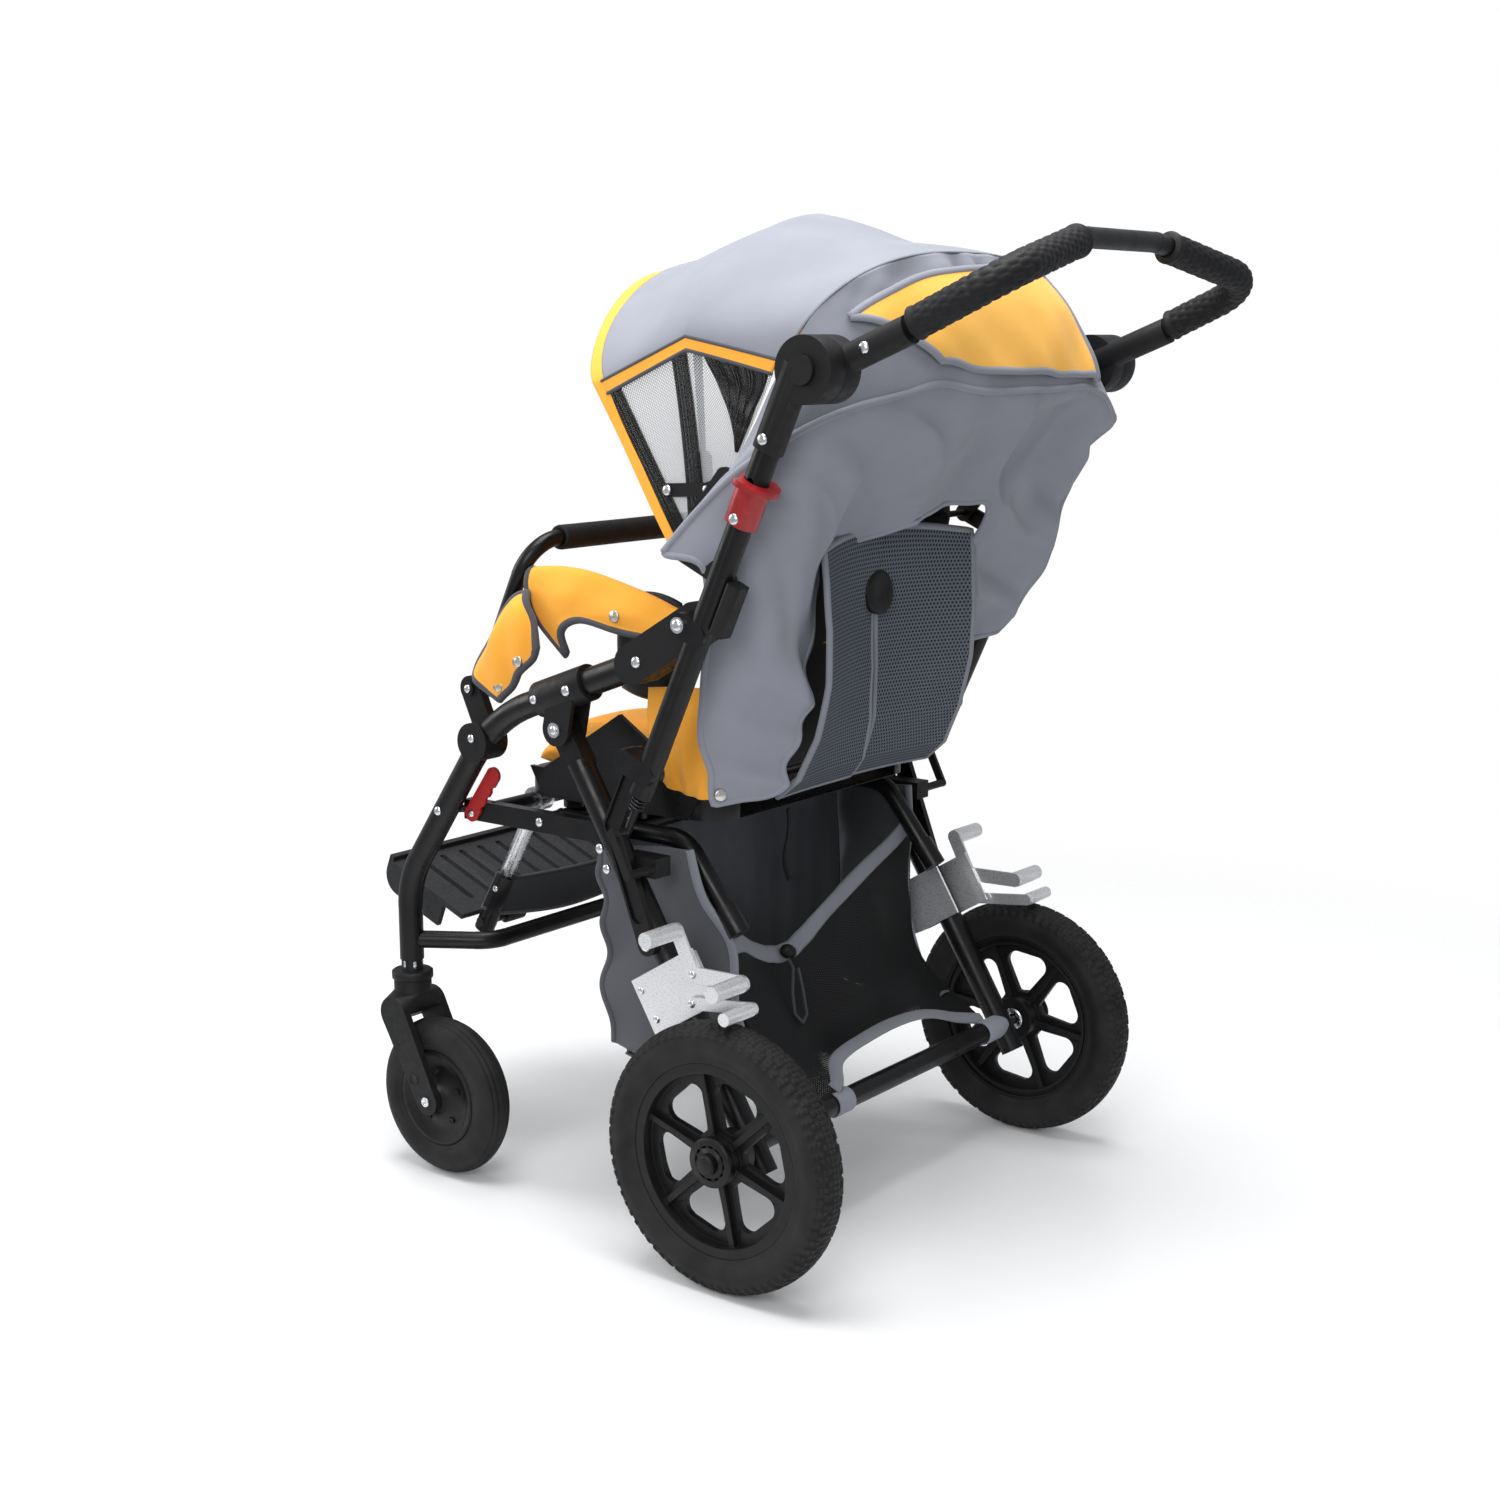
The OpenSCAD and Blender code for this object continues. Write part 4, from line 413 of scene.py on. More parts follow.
# Foot brakes: bright aluminium plates folded round each rear leg, with levers whose knurled
# aluminium rollers are stepped on to press the lowest roller against the tyre.
brushed_alloy = surface("brushed_alloy", (0.74, 0.745, 0.76), 0.32, 0.7)
ramp_to(brushed_alloy, noise_on(brushed_alloy, 240, 2, (1, 1, 9)), "Roughness", 0.26, 0.4)
bump_from(brushed_alloy, noise_on(brushed_alloy, 700, 2, (1, 1, 9)), 0.012, 0.0003)
dress("brake_brackets brake_lever_left brake_lever_right brake_shoe_left brake_shoe_right", brushed_alloy, 0.0007)
roller_end = 335.6
for side, side_name in both_sides:
    for roller_body, roller_places in (
        ("brake_lever_", [(-87, 379, 9.6, 285.5), (3, 336, 9.6, 285.5)]),
        ("brake_shoe_", [(19, 312, 7.6, 288.8)]),
    ):
        roller_form = bmesh.new()
        for ry, rz, rr, r_from in roller_places:
            rim = bmesh.ops.create_circle(roller_form, segments=64, radius=rr / 1000, cap_ends=True)["verts"]
            for k, vert in enumerate(rim):
                if k % 2:
                    vert.co *= 0.955
            base = list({f for v in rim for f in v.link_faces})
            grown = bmesh.ops.extrude_face_region(roller_form, geom=base)["geom"]
            far = [g for g in grown if isinstance(g, bmesh.types.BMVert)]
            bmesh.ops.translate(roller_form, verts=far, vec=(0, 0, (roller_end - r_from) / 1000))
            bmesh.ops.scale(roller_form, verts=far, vec=(0.97, 0.97, 1), space=Matrix.Identity(4))
            stand = Matrix.Translation(row(side * r_from, ry, rz)) @ Matrix.Rotation(side * math.pi / 2, 4, "Y")
            bmesh.ops.transform(roller_form, matrix=stand, verts=rim + far)
        bmesh.ops.recalc_face_normals(roller_form, faces=roller_form.faces)
        rollers = new_piece(roller_body + "rollers_" + side_name, roller_form, brushed_alloy, roller_body + side_name)
        rollers.data.polygons.foreach_set("use_smooth", [False] * len(rollers.data.polygons))


# Footplate: a dark moulded tread with long drain slots and turned-down sides, hinged on the
# footrest's cross rod. Its top has the sandy grain that keeps a shoe from sliding.
tread_grey = surface("tread_grey", (0.016, 0.0165, 0.018), 0.6, 0, 0.26,
                     grain=(1000, 5, 0.3, 0.0008))
ramp_to(tread_grey, noise_on(tread_grey, 260, 4), "Base Color", (0.012, 0.0125, 0.0135), (0.024, 0.0245, 0.027))
dress("footplate", tread_grey, 0.0012)


# Foam grips: soft black sleeves pushed over both corners of the push bar, pressed with rows of
# shallow scales. The middle of the bar stays bare.
grip_foam = surface("grip_foam", (0.0095, 0.0095, 0.0105), 0.62, 0, 0.24,
                    gloss=(90, 3, 0.54, 0.7), grain=(1500, 3, 0.14, 0.0005))


def bent_path(points, bend, pieces=24):
    """Points along a straight run, a round corner at the second point and a second run."""
    a, b, c = (Vector(p) for p in points)
    s, e = (b - a).normalized(), (c - b).normalized()
    half = s.angle(e) / 2
    cut = bend * math.tan(half)
    corner = []
    n = (e - s * s.dot(e)).normalized()
    middle = b - s * cut + n * bend
    for k in range(pieces + 1):
        turn_at = 2 * half * k / pieces
        corner.append(middle - n * bend * math.cos(turn_at) + s * bend * math.sin(turn_at))
    return [a, *corner, c]


def walk(path, count):
    """Evenly spaced points and directions along a path."""
    steps = [0.0]
    for a, b in zip(path, path[1:]):
        steps.append(steps[-1] + (b - a).length)
    spots = np.linspace(0, steps[-1], count)
    line = np.array([np.interp(spots, steps, [p[i] for p in path]) for i in range(3)]).T
    ways = np.gradient(line, axis=0)
    return [Vector(p) for p in line], [Vector(w).normalized() for w in ways], steps[-1]


def grid_form(columns, rows):
    form = bmesh.new()
    form.loops.layers.uv.new("weave")
    bmesh.ops.create_grid(form, x_segments=columns, y_segments=rows, size=1, calc_uvs=True)
    return form


handle_rise = math.radians(22)
hub_y, hub_z = 99.92, 980.11
grip_steps, scale_length, scales_round = 240, 0.0105, 12
for side, side_name in both_sides:
    bar_start = row(side * 269, hub_y + 40 * math.cos(handle_rise), hub_z + 40 * math.sin(handle_rise))
    bar_corner = row(side * 266, 302, 1070)
    bar_end = row(side * 76, 276, 1109)
    grip_start = bar_start + (bar_corner - bar_start).normalized() * 0.068
    grip_stop = bar_end + (bar_corner - bar_end).normalized() * 0.02
    grip_line, grip_ways, grip_length = walk(bent_path((grip_start, bar_corner, grip_stop), 0.048), grip_steps + 1)
    grip_form = grid_form(84, grip_steps)
    for vert in grip_form.verts:
        u, v = (vert.co.x + 1) / 2, (vert.co.y + 1) / 2
        k = min(grip_steps, int(round(v * grip_steps)))
        way = grip_ways[k]
        flat = Vector((0, 0, 1)).cross(way).normalized()
        rise = way.cross(flat)
        along = v * grip_length / scale_length
        across = u * scales_round + (0.5 if int(along) % 2 else 0)
        scale_y = along % 1 - 0.5
        scale_x = across % 1 - 0.5
        lens = max(0.0, 1 - (scale_x / 0.46) ** 2 - (scale_y / 0.42) ** 2)
        ends = min(v, 1 - v) * grip_length
        plain = 1 if 0.012 < ends else 0
        lip = 0.0016 * math.exp(-((ends - 0.004) / 0.004) ** 2)
        radius = 0.016 + 0.0011 * plain * math.sqrt(lens) + lip - 0.004 * max(0, 1 - ends / 0.0025)
        if ends < 1e-6:
            radius = 0.0112
        vert.co = grip_line[k] + (flat * math.cos(u * math.tau) + rise * math.sin(u * math.tau)) * radius
    bmesh.ops.remove_doubles(grip_form, verts=grip_form.verts, dist=weld_reach)
    bmesh.ops.recalc_face_normals(grip_form, faces=grip_form.faces)
    grip = new_piece("foam_grip_" + side_name, grip_form, grip_foam, "push_handle")
    if side == 1:
        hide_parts("grips")


# Grab bar sleeve: a smooth black foam tube slid over the middle of the grab bar, cut square
# with slightly rounded ends.
sleeve_half = [(14.3, 60), (14.5, 172), (14, 174.2), (12.4, 175), (9.7, 174)]
sleeve_profile = [*reversed(sleeve_half), (14.5, 0), *((r, -h) for r, h in sleeve_half)]
sleeve = lathed("grab_foam", grip_foam, "grab_bar", "foam", (sleeve_profile, row(0, -348, 783), (1, 0, 0), 48))
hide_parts("grab_sleeve")


# Seat pad: a quilted orange seat filled with foam, held on the seat shell by its edge. It starts
# from the CAD pad, is blown up by a short cloth run and has a sewn channel down its middle.
def cloth_finish(name, colour, depth=0.16, grain=1500, rough=0.86):
    paint = surface(name, colour, rough, 0, 0.25)
    dim = tuple(c * 0.95 for c in colour)
    lit = tuple(min(1, c * 1.03) for c in colour)
    ramp_to(paint, noise_on(paint, 18, 3), "Base Color", dim, lit, 0.3, 0.7)
    shader = paint.node_tree.nodes["Principled BSDF"]
    shader.inputs["Sheen Weight"].default_value = 0.12
    shader.inputs["Sheen Roughness"].default_value = 0.5
    bump_from(paint, noise_on(paint, grain, 3), depth, 0.0006)
    return paint


orange_cloth = cloth_finish("orange_cloth", (0.94, 0.41, 0.045))
binding_cloth = cloth_finish("binding_cloth", (0.075, 0.078, 0.09), 0.2)


def blown(node, name, paint, body, shrink, cap, channels=()):
    """A padded copy of a CAD solid: remeshed, swollen by a cloth run and held within cap."""
    mesh = nodes[node].data.copy()
    mesh.name = name
    mesh.materials.clear()
    mesh.materials.append(paint)
    pad = bpy.data.objects.new(name, mesh)
    scene.collection.objects.link(pad)
    flat = np.empty(len(mesh.vertices) * 3)
    mesh.vertices.foreach_get("co", flat)
    spots = flat.reshape(-1, 3)
    low, high = spots.min(0), spots.max(0)
    spots = (spots - (low + high) / 2) * (1 - 2 * shrink / (high - low)) + (low + high) / 2
    mesh.vertices.foreach_set("co", spots.ravel())
    remesh = pad.modifiers.new("remesh", "REMESH")
    remesh.mode = "VOXEL"
    remesh.voxel_size = 0.0052
    remesh.use_smooth_shade = True
    settle(pad)
    start = np.empty(len(pad.data.vertices) * 3)
    pad.data.vertices.foreach_get("co", start)
    swell = pad.modifiers.new("swell", "CLOTH")
    swell.settings.use_pressure = True
    swell.settings.uniform_pressure_force = 4
    swell.settings.effector_weights.gravity = 0
    for step in range(1, 17):
        scene.frame_set(step)
    settle(pad)
    scene.frame_set(1)
    spots = np.empty(len(pad.data.vertices) * 3)
    pad.data.vertices.foreach_get("co", spots)
    start, spots = start.reshape(-1, 3), spots.reshape(-1, 3)
    push = spots - start
    reach = np.linalg.norm(push, axis=1, keepdims=True)
    spots = start + push * np.minimum(1, cap / np.maximum(reach, 1e-9))
    for centre, normal, inward, width, depth in channels:
        off = (spots - np.array(centre)) @ np.array(normal)
        spots = spots + np.outer(np.exp(-(off / width) ** 2) * depth, inward)
    pad.data.vertices.foreach_set("co", spots.ravel())
    finer = pad.modifiers.new("finer", "SUBSURF")
    finer.levels = finer.render_levels = 1
    pad.data.polygons.foreach_set("use_smooth", [True] * len(pad.data.polygons))
    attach(pad, body)
    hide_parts(node)
    return pad


def settle(piece):
    """Applies a piece's modifiers to its mesh."""
    shape = bpy.data.meshes.new_from_object(piece.evaluated_get(bpy.context.evaluated_depsgraph_get()))
    piece.modifiers.clear()
    old = piece.data
    piece.data = shape
    bpy.data.meshes.remove(old)


seat_pad = blown("seat_cushion", "seat_pad", orange_cloth, "front_frame", 0.006, 0.009,
                 [(row(0, -280, 540), (1, 0, 0), (0, 0, -1), 0.006, 0.007),
                  (row(118, -280, 540), (1, 0, 0), (0, 0, -1), 0.005, 0.004),
                  (row(-118, -280, 540), (1, 0, 0), (0, 0, -1), 0.005, 0.004)])


# Back pad: the orange padded cover of the backrest, pulled over the board from the front, with
# two sewn channels across it.
back_pad = blown("back_cushion", "back_pad", orange_cloth, "backrest", 0.006, 0.009,
                 [(row(0, -62, 660), (0, 0.2419, 0.9703), (0, 0.9703, -0.2419), 0.006, 0.006),
                  (row(0, -30, 800), (0, 0.2419, 0.9703), (0, 0.9703, -0.2419), 0.006, 0.006)])


# Seat sides: orange cloth sewn to the seat pad and pulled down over the outside of the shell's
# wings, with a soft roll at its lower hem.
def net_surface(control, u, v):
    """A smooth surface through a net of points: rows run along v and columns along u."""
    def spline(points, t):
        n = len(points) - 1
        k = min(int(t * n), n - 1)
        f = t * n - k
        a, b = points[k], points[k + 1]
        before = points[k - 1] if k > 0 else a * 2 - b
        after = points[k + 2] if k + 2 <= n else b * 2 - a
        return (b * 2 * f * f * (3 - 2 * f) + a * 2 * (1 - f * f * (3 - 2 * f))) / 2 + (
            (b - before) * (f * f * f - 2 * f * f + f) + (after - a) * (f * f * f - f * f)) / 2
    return spline([spline(line, u) for line in control], v)


def cloth_sheet(name, columns, rows, place, paint, body, thick):
    """A sheet of cloth whose points come from place(u, v), both from 0 to 1."""
    form = grid_form(columns, rows)
    for vert in form.verts:
        vert.co = place((vert.co.x + 1) / 2, (vert.co.y + 1) / 2)
    bmesh.ops.recalc_face_normals(form, faces=form.faces)
    sheet = new_piece(name, form, paint, body)
    body_thick = sheet.modifiers.new("thickness", "SOLIDIFY")
    body_thick.thickness = thick
    body_thick.offset = 0
    return sheet


def taped(name, spots, outs, half_width, half_thick, paint, body, sides=8):
    """A flat or round tube along a line of spots, with outs pointing off its broad face."""
    last = len(spots) - 1
    form = grid_form(sides, last)
    ways = np.gradient(np.array(spots), axis=0)
    for vert in form.verts:
        k = int(round((vert.co.y + 1) / 2 * last))
        turn_at = (vert.co.x + 1) * math.pi
        across = Vector(ways[k]).normalized().cross(outs[k]).normalized()
        vert.co = spots[k] + outs[k] * math.cos(turn_at) * half_thick + across * math.sin(turn_at) * half_width
    bmesh.ops.remove_doubles(form, verts=form.verts, dist=weld_reach)
    bmesh.ops.holes_fill(form, edges=[e for e in form.edges if e.is_boundary])
    bmesh.ops.recalc_face_normals(form, faces=form.faces)
    return new_piece(name, form, paint, body)


def edging(name, place, trail, half_width, half_thick, paint, body):
    """A tape folded over the edge of a sheet, along a trail of (u, v) on its surface."""
    e = 0.004
    outs = []
    for u, v in trail:
        du = place(min(1, u + e), v) - place(max(0, u - e), v)
        dv = place(u, min(1, v + e)) - place(u, max(0, v - e))
        outs.append(du.cross(dv).normalized())
    return taped(name, [place(u, v) for u, v in trail], outs, half_width, half_thick, paint, body)


def rim_trail(count):
    """(u, v) round a sheet's four edges."""
    quarter = count // 4
    steps = [k / quarter for k in range(quarter)]
    trail = [(k, 0) for k in steps] + [(1, k) for k in steps] + [(1 - k, 1) for k in steps]
    return trail + [(0, 1 - k) for k in steps] + [(0, 0)]


for side, side_name in both_sides:
    wrap_net = mirrored(
        side,
        [(202, -190, 626), (203, -165, 629), (202, -140, 631), (201, -118, 632), (199, -100, 632)],
        [(207, -188, 592), (208, -164, 594), (208, -140, 594), (207, -116, 592), (204, -95, 588)],
        [(207, -181, 548), (208, -160, 546), (208, -138, 545), (207, -116, 545), (204, -96, 546)],
        [(206, -170, 524), (206, -153, 515), (206, -136, 511), (205, -117, 509), (203, -100, 509)],
    )

    def wrap_place(u, v):
        p = net_surface(wrap_net, u, v)
        ripple = math.sin(u * 21 + v * 3) * 0.0016 + math.sin(u * 9 - v * 6) * 0.0022
        return p + Vector((side * ripple * (0.3 + v), 0, 0))

    wrap = cloth_sheet("seat_side_" + side_name, 60, 36, wrap_place, orange_cloth, "front_frame", 0.003)


# Side flaps: padded orange flaps that fold outwards over both sides of the seat, bound with dark
# tape and held down by press studs. A smaller flap hangs over the front of the arm tube.
stud_profile = [(0, 2.2), (3.6, 2.2), (4.6, 1.4), (6.4, 1.6), (7, 0.6), (7, -2), (0, -2)]
stud_metal = surface("stud_metal", (0.62, 0.6, 0.55), 0.28, 1, 0.5,
                     gloss=(500, 2, 0.2, 0.4), grain=(1500, 2, 0.08, 0.0002))
for side, side_name in both_sides:
    long_net = mirrored(
        side,
        [(196, -345, 728), (196, -300, 732), (196, -255, 730), (196, -212, 722), (197, -168, 712), (198, -128, 700)],
        [(214, -350, 748), (214, -305, 752), (214, -262, 748), (214, -214, 738), (213, -170, 726), (212, -130, 712)],
        [(223, -350, 728), (224, -305, 730), (224, -264, 726), (224, -215, 718), (222, -168, 708), (218, -130, 702)],
        [(222, -338, 694), (226, -304, 708), (227, -268, 710), (227, -214, 704), (225, -168, 697), (220, -134, 694)],
        [(218, -300, 655), (226, -300, 684), (227, -270, 699), (227, -214, 691), (225, -168, 687), (220, -138, 686)],
    )

    def long_place(u, v):
        p = net_surface(long_net, u, v)
        puff = 0.004 * math.sin(math.pi * min(1, v * 1.15)) * (0.6 + 0.4 * math.sin(u * 17 + v * 5))
        return p + Vector((side * puff, 0, puff * 0.4))

    front_net = mirrored(
        side,
        [(238, -424, 626), (240, -404, 655), (240, -384, 685), (238, -362, 716), (232, -346, 724)],
        [(248, -412, 618), (250, -392, 648), (250, -372, 680), (248, -350, 706), (242, -338, 710)],
        [(250, -394, 608), (252, -374, 636), (252, -356, 664), (250, -338, 684), (244, -328, 690)],
        [(248, -376, 600), (250, -358, 616), (250, -344, 634), (248, -328, 650), (243, -322, 664)],
    )

    def front_place(u, v):
        p = net_surface(front_net, u, v)
        puff = 0.005 * math.sin(math.pi * u) * math.sin(math.pi * v) + 0.0018 * math.sin(u * 13 + v * 7)
        return p + Vector((side * puff, 0, 0))

    long_edge = [(0, 0.2 + 0.8 * k / 40) for k in range(40)] + [(k / 70, 1) for k in range(71)]
    for flap_name, place, trail in (
        ("long_flap_", long_place, long_edge),
        ("front_flap_", front_place, rim_trail(160)),
    ):
        flap = cloth_sheet(flap_name + side_name, 56, 36, place, orange_cloth, "front_frame", 0.007)
        edging(flap_name + "tape_" + side_name, place, trail, 0.0052, 0.0048, binding_cloth, "front_frame")
        if side == 1 and place is long_place:
            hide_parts("side_flaps")
    lathed("flap_studs_" + side_name, stud_metal, "front_frame", "steel",
           *((stud_profile, row(side * x, y, z), (side, 0, 0), 24)
             for x, y, z in ((256, -341, 648), (255, -373, 616), (233, -214, 707))))


# Hip pads: black domed cushions screwed to the inside of the seat shell, seen over the flap.
# Each is a crowned leathercloth bag with a seam round its edge.
hip_black = cloth_finish("hip_black", (0.008, 0.008, 0.009), 0.1, 900, 0.5)
for side, side_name in both_sides:
    hip_form = bmesh.new()
    for bulge in (-17, 13):
        face_form = grid_form(28, 28)
        for vert in face_form.verts:
            a, b = vert.co.x, vert.co.y
            edge = max(0.0, (1 - abs(a) ** 3.2) * (1 - abs(b) ** 3.2)) ** 0.5
            vert.co = row(side * (176 + bulge * edge), -208 + 50 * a * (1 - 0.1 * b * b),
                          668 + 62 * b * (1 - 0.16 * a * a))
        face_mesh = bpy.data.meshes.new("hip_face")
        face_form.to_mesh(face_mesh)
        face_form.free()
        hip_form.from_mesh(face_mesh)
        bpy.data.meshes.remove(face_mesh)
    bmesh.ops.remove_doubles(hip_form, verts=hip_form.verts, dist=0.00005)
    bmesh.ops.recalc_face_normals(hip_form, faces=hip_form.faces)
    hip = new_piece("hip_pad_" + side_name, hip_form, hip_black, "front_frame")


# Calf band: a wide dark cloth band sewn round both hanger tubes behind the calves, slack in the
# middle with a rounded lower edge and grey stitching tape.
dark_cloth = cloth_finish("dark_cloth", (0.018, 0.0185, 0.021), 0.2)
hang_lean = math.radians(61.4)
hang_y, hang_z = -math.cos(hang_lean), -math.sin(hang_lean)


def calf_place(u, v):
    a = u * 2 - 1
    down = 116 + 54 * v + 10 * math.cos(a * math.pi / 2) * v
    behind = -9 - 12 * math.cos(a * math.pi / 2) - math.sin(a * 5) * v
    wrap = 14.5 * max(0.0, 1 - ((1 - abs(a)) / 0.1)) if abs(a) > 0.9 else 0
    y = -410 + hang_y * down - hang_z * -(behind + wrap)
    z = 462 + hang_z * down + hang_y * -(behind + wrap)
    return row(a * 164, y, z)


calf = cloth_sheet("calf_band", 90, 30, calf_place, dark_cloth, "footrest", 0.006)
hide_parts("calf_pad")
edging("calf_tape", calf_place, [(k / 90, 1) for k in range(91)], 0.004, 0.0042, binding_cloth, "footrest")


# Back lining: thin black cloth stretched behind the backrest board and its pad, seen past the
# sling. It is sewn to the pad's edge.
lining_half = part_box("back_cushion")[1][0] * 1000 + 3


def board_y(z, behind):
    """How far back the leaning board is at a height, and so far behind that."""
    return -130 + (z - 515) / math.tan(math.radians(76)) + behind


def lining_place(u, v):
    z = 800 - 282 * v
    y = board_y(z, 9) + 1.2 * math.sin(u * 15 + v * 9)
    return row((2 * u - 1) * lining_half, y, z)


lining = cloth_sheet("back_lining", 60, 60, lining_place, dark_cloth, "backrest", 0.0016)


# Mesh sling: a wide strap of dark spacer mesh hung behind the backrest board, slit up the middle
# to a round black knob, with a paler tape sewn along its edges.
sling_mesh = surface("sling_mesh", (0.1, 0.115, 0.135), 0.8, 0, 0.2)
sling_tree = sling_mesh.node_tree
sling_map = wired(sling_tree, "UVMap")
sling_map.uv_map = "weave"
hole_sets = []
for shift in (0, 0.5):
    hole_grid = wired(sling_tree, "VectorMath", [(0, sling_map)], [(1, (30, 32, 0)), (2, (shift, shift, 0))],
                      "MULTIPLY_ADD")
    hole_cell = wired(sling_tree, "VectorMath", [(0, hole_grid)], operation="FRACTION")
    hole_spot = wired(sling_tree, "VectorMath", [(0, hole_cell)], [(1, (1, 1.732, 0)), (2, (-0.5, -0.866, 0))],
                      "MULTIPLY_ADD")
    hole_sets.append(wired(sling_tree, "VectorMath", [(0, hole_spot)], operation="LENGTH").outputs["Value"])
hole_near = wired(sling_tree, "Math", enumerate(hole_sets), operation="MINIMUM")
ramp_to(sling_mesh, hole_near.outputs[0], "Base Color", (0.008, 0.009, 0.011), (0.115, 0.13, 0.152), 0.2, 0.42)
bump_from(sling_mesh, hole_near.outputs[0], 0.7, 0.0015)
sling_tape = cloth_finish("sling_tape", (0.2, 0.21, 0.235), 0.2)


sling_half = 150


def sling_point(x, z):
    """The knob draws the middle in, and both edges stand off behind it."""
    edge = float(np.interp(z, [496, 533, 580, 640, 700, 750, 800], [-64, -20, 2, 16, 20, 17, 10]))
    middle = float(np.interp(z, [496, 533, 580, 640, 700, 740, 800], [-74, -42, -28, -24, -27, -25, -12]))
    y = middle + (edge - middle) * abs(x / sling_half) ** 1.7
    return row(x, max(board_y(z, 7), y + 2 * math.sin(x / 40 + z / 37)), z)


for side, side_name in both_sides:
    def half_place(u, v):
        z = 787 - 277 * v + (14 * (1 - v) ** 8 * math.sin((side * u + 1) / 2 * math.pi))
        slit = 9 * math.sin(math.pi * min(1, max(0, (716 - z) / 196))) ** 0.5
        x = side * (slit + u * (sling_half - 6 * math.sin(v * math.pi) - slit))
        p = sling_point(x, z)
        return p + Vector((0, 0.003 * side * (1 - u) * min(1, max(0, (700 - z) / 60)), 0))

    half = cloth_sheet("sling_" + side_name, 44, 84, half_place, sling_mesh, "backrest", 0.0055)
    if side == 1:
        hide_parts("mesh_sling")
    trail = [(1, 1 - k / 60) for k in range(60)] + [(1 - k / 30, 0) for k in range(31)]
    edging("sling_hem_" + side_name, half_place, trail, 0.0045, 0.0038, sling_tape, "backrest")
    trail = [(0, 0.27 + 0.73 * k / 60) for k in range(61)] + [(k / 30, 1) for k in range(1, 31)]
    edging("slit_hem_" + side_name, half_place, trail, 0.004, 0.0036, sling_tape, "backrest")
knob = lathed("sling_knob", moulded_black, "backrest", "black_plastic",
              ([(0, 7.5), (12, 7), (15, 8.6), (23, 7.8), (26.5, 5), (26, -1), (0, -3)],
               row(0, -22, 727), (0, 1, 0.1), 48))
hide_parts("back_knob")


# Hood: grey woven cloth over two bows, with an orange stripe and net windows at both sides, an
# orange band along its front edge and dark gathered mesh at the rear of each window.
grey_cloth = cloth_finish("grey_cloth", (0.245, 0.255, 0.295), 0.14)
net_grey = surface("net_grey", (0.5, 0.51, 0.53), 0.7, 0, 0.2)
net_black = surface("net_black", (0.007, 0.0072, 0.008), 0.6, 0, 0.22)


def see_through(paint, across, along, thread):
    """Leaves only the threads of a net: two slanted sets of lines over the sheet's own map."""
    tree = paint.node_tree
    cloth_map = wired(tree, "UVMap")
    cloth_map.uv_map = "weave"
    split = wired(tree, "SeparateXYZ", [(0, cloth_map)]).outputs
    threads = []
    for slope in (along, -along):
        scaled = wired(tree, "Math", [(0, split["X"])], [(1, across)], "MULTIPLY")
        sloped = wired(tree, "Math", [(0, split["Y"]), (2, scaled)], [(1, slope)], "MULTIPLY_ADD")
        saw = wired(tree, "Math", [(0, sloped)], [(1, 0.5)], "PINGPONG")
        threads.append(wired(tree, "Math", [(0, saw)], [(1, thread / 2)], "LESS_THAN"))
    either = wired(tree, "Math", enumerate(threads), operation="MAXIMUM")
    tree.links.new(either.outputs[0], tree.nodes["Principled BSDF"].inputs["Alpha"])


see_through(net_grey, 60, 44, 0.3)
see_through(net_black, 60, 60, 0.5)
rear_lean, mid_lean, front_lean = 60, 94, 130
hood_bows = [(rear_lean, 348, 2.5), (mid_lean, 348.8, 1.6), (front_lean, 379, 1.35)]  # with reach and roundness
hood_half, hood_pivot = 244, Vector((0, -81, 796))
side_end, side_reach = 36, 217  # where a bow's straight side ends


def bow_point(bow, t, out):
    """A place on a bow: straight sides up from the pivot, then a rounded top, t across it."""
    angle, top, power = bow
    s = min(t, 180 - t)
    x, r = hood_half + out, 44 + 173 * s / side_end
    if s > side_end:
        q = math.radians((s - side_end) / 0.6)
        x *= max(0, math.cos(q)) ** (2 / power)
        r = side_reach + (top + out - side_reach) * math.sin(q) ** (2 / power)
    lean = math.radians(angle)
    return hood_pivot + Vector((math.copysign(x, 90 - t), r * math.cos(lean), r * math.sin(lean)))


def hood_point(a, t, out=0.0):
    """A place on the hood at angle a about its pivot: cloth pulled straight from bow to bow."""
    near, far = hood_bows[:2] if a < mid_lean else hood_bows[1:]
    return bow_point(near, t, out).lerp(bow_point(far, t, out), (a - near[0]) / (far[0] - near[0]))


def front_edge(t, back=0.0, out=0.0):
    """A place on the hood's front edge, or so far behind it: a straight run up each side."""
    s = min(t, 180 - t)
    if s < side_end:
        f = s / side_end
        spot = Vector((hood_half + out, -120, 792)).lerp(Vector((hood_half + out, -223.4, 959.8)), f)
        spot += Vector((0, 0.812, 0.584)).lerp(Vector((0, 0.927, 0.375)), f) * back
        return Vector((math.copysign(spot.x, 90 - t), spot.y, spot.z))
    reach = (hood_point(front_lean + 1, t) - hood_pivot).yz.length
    return hood_point(front_lean + 1 - math.degrees(back / reach), t, out)


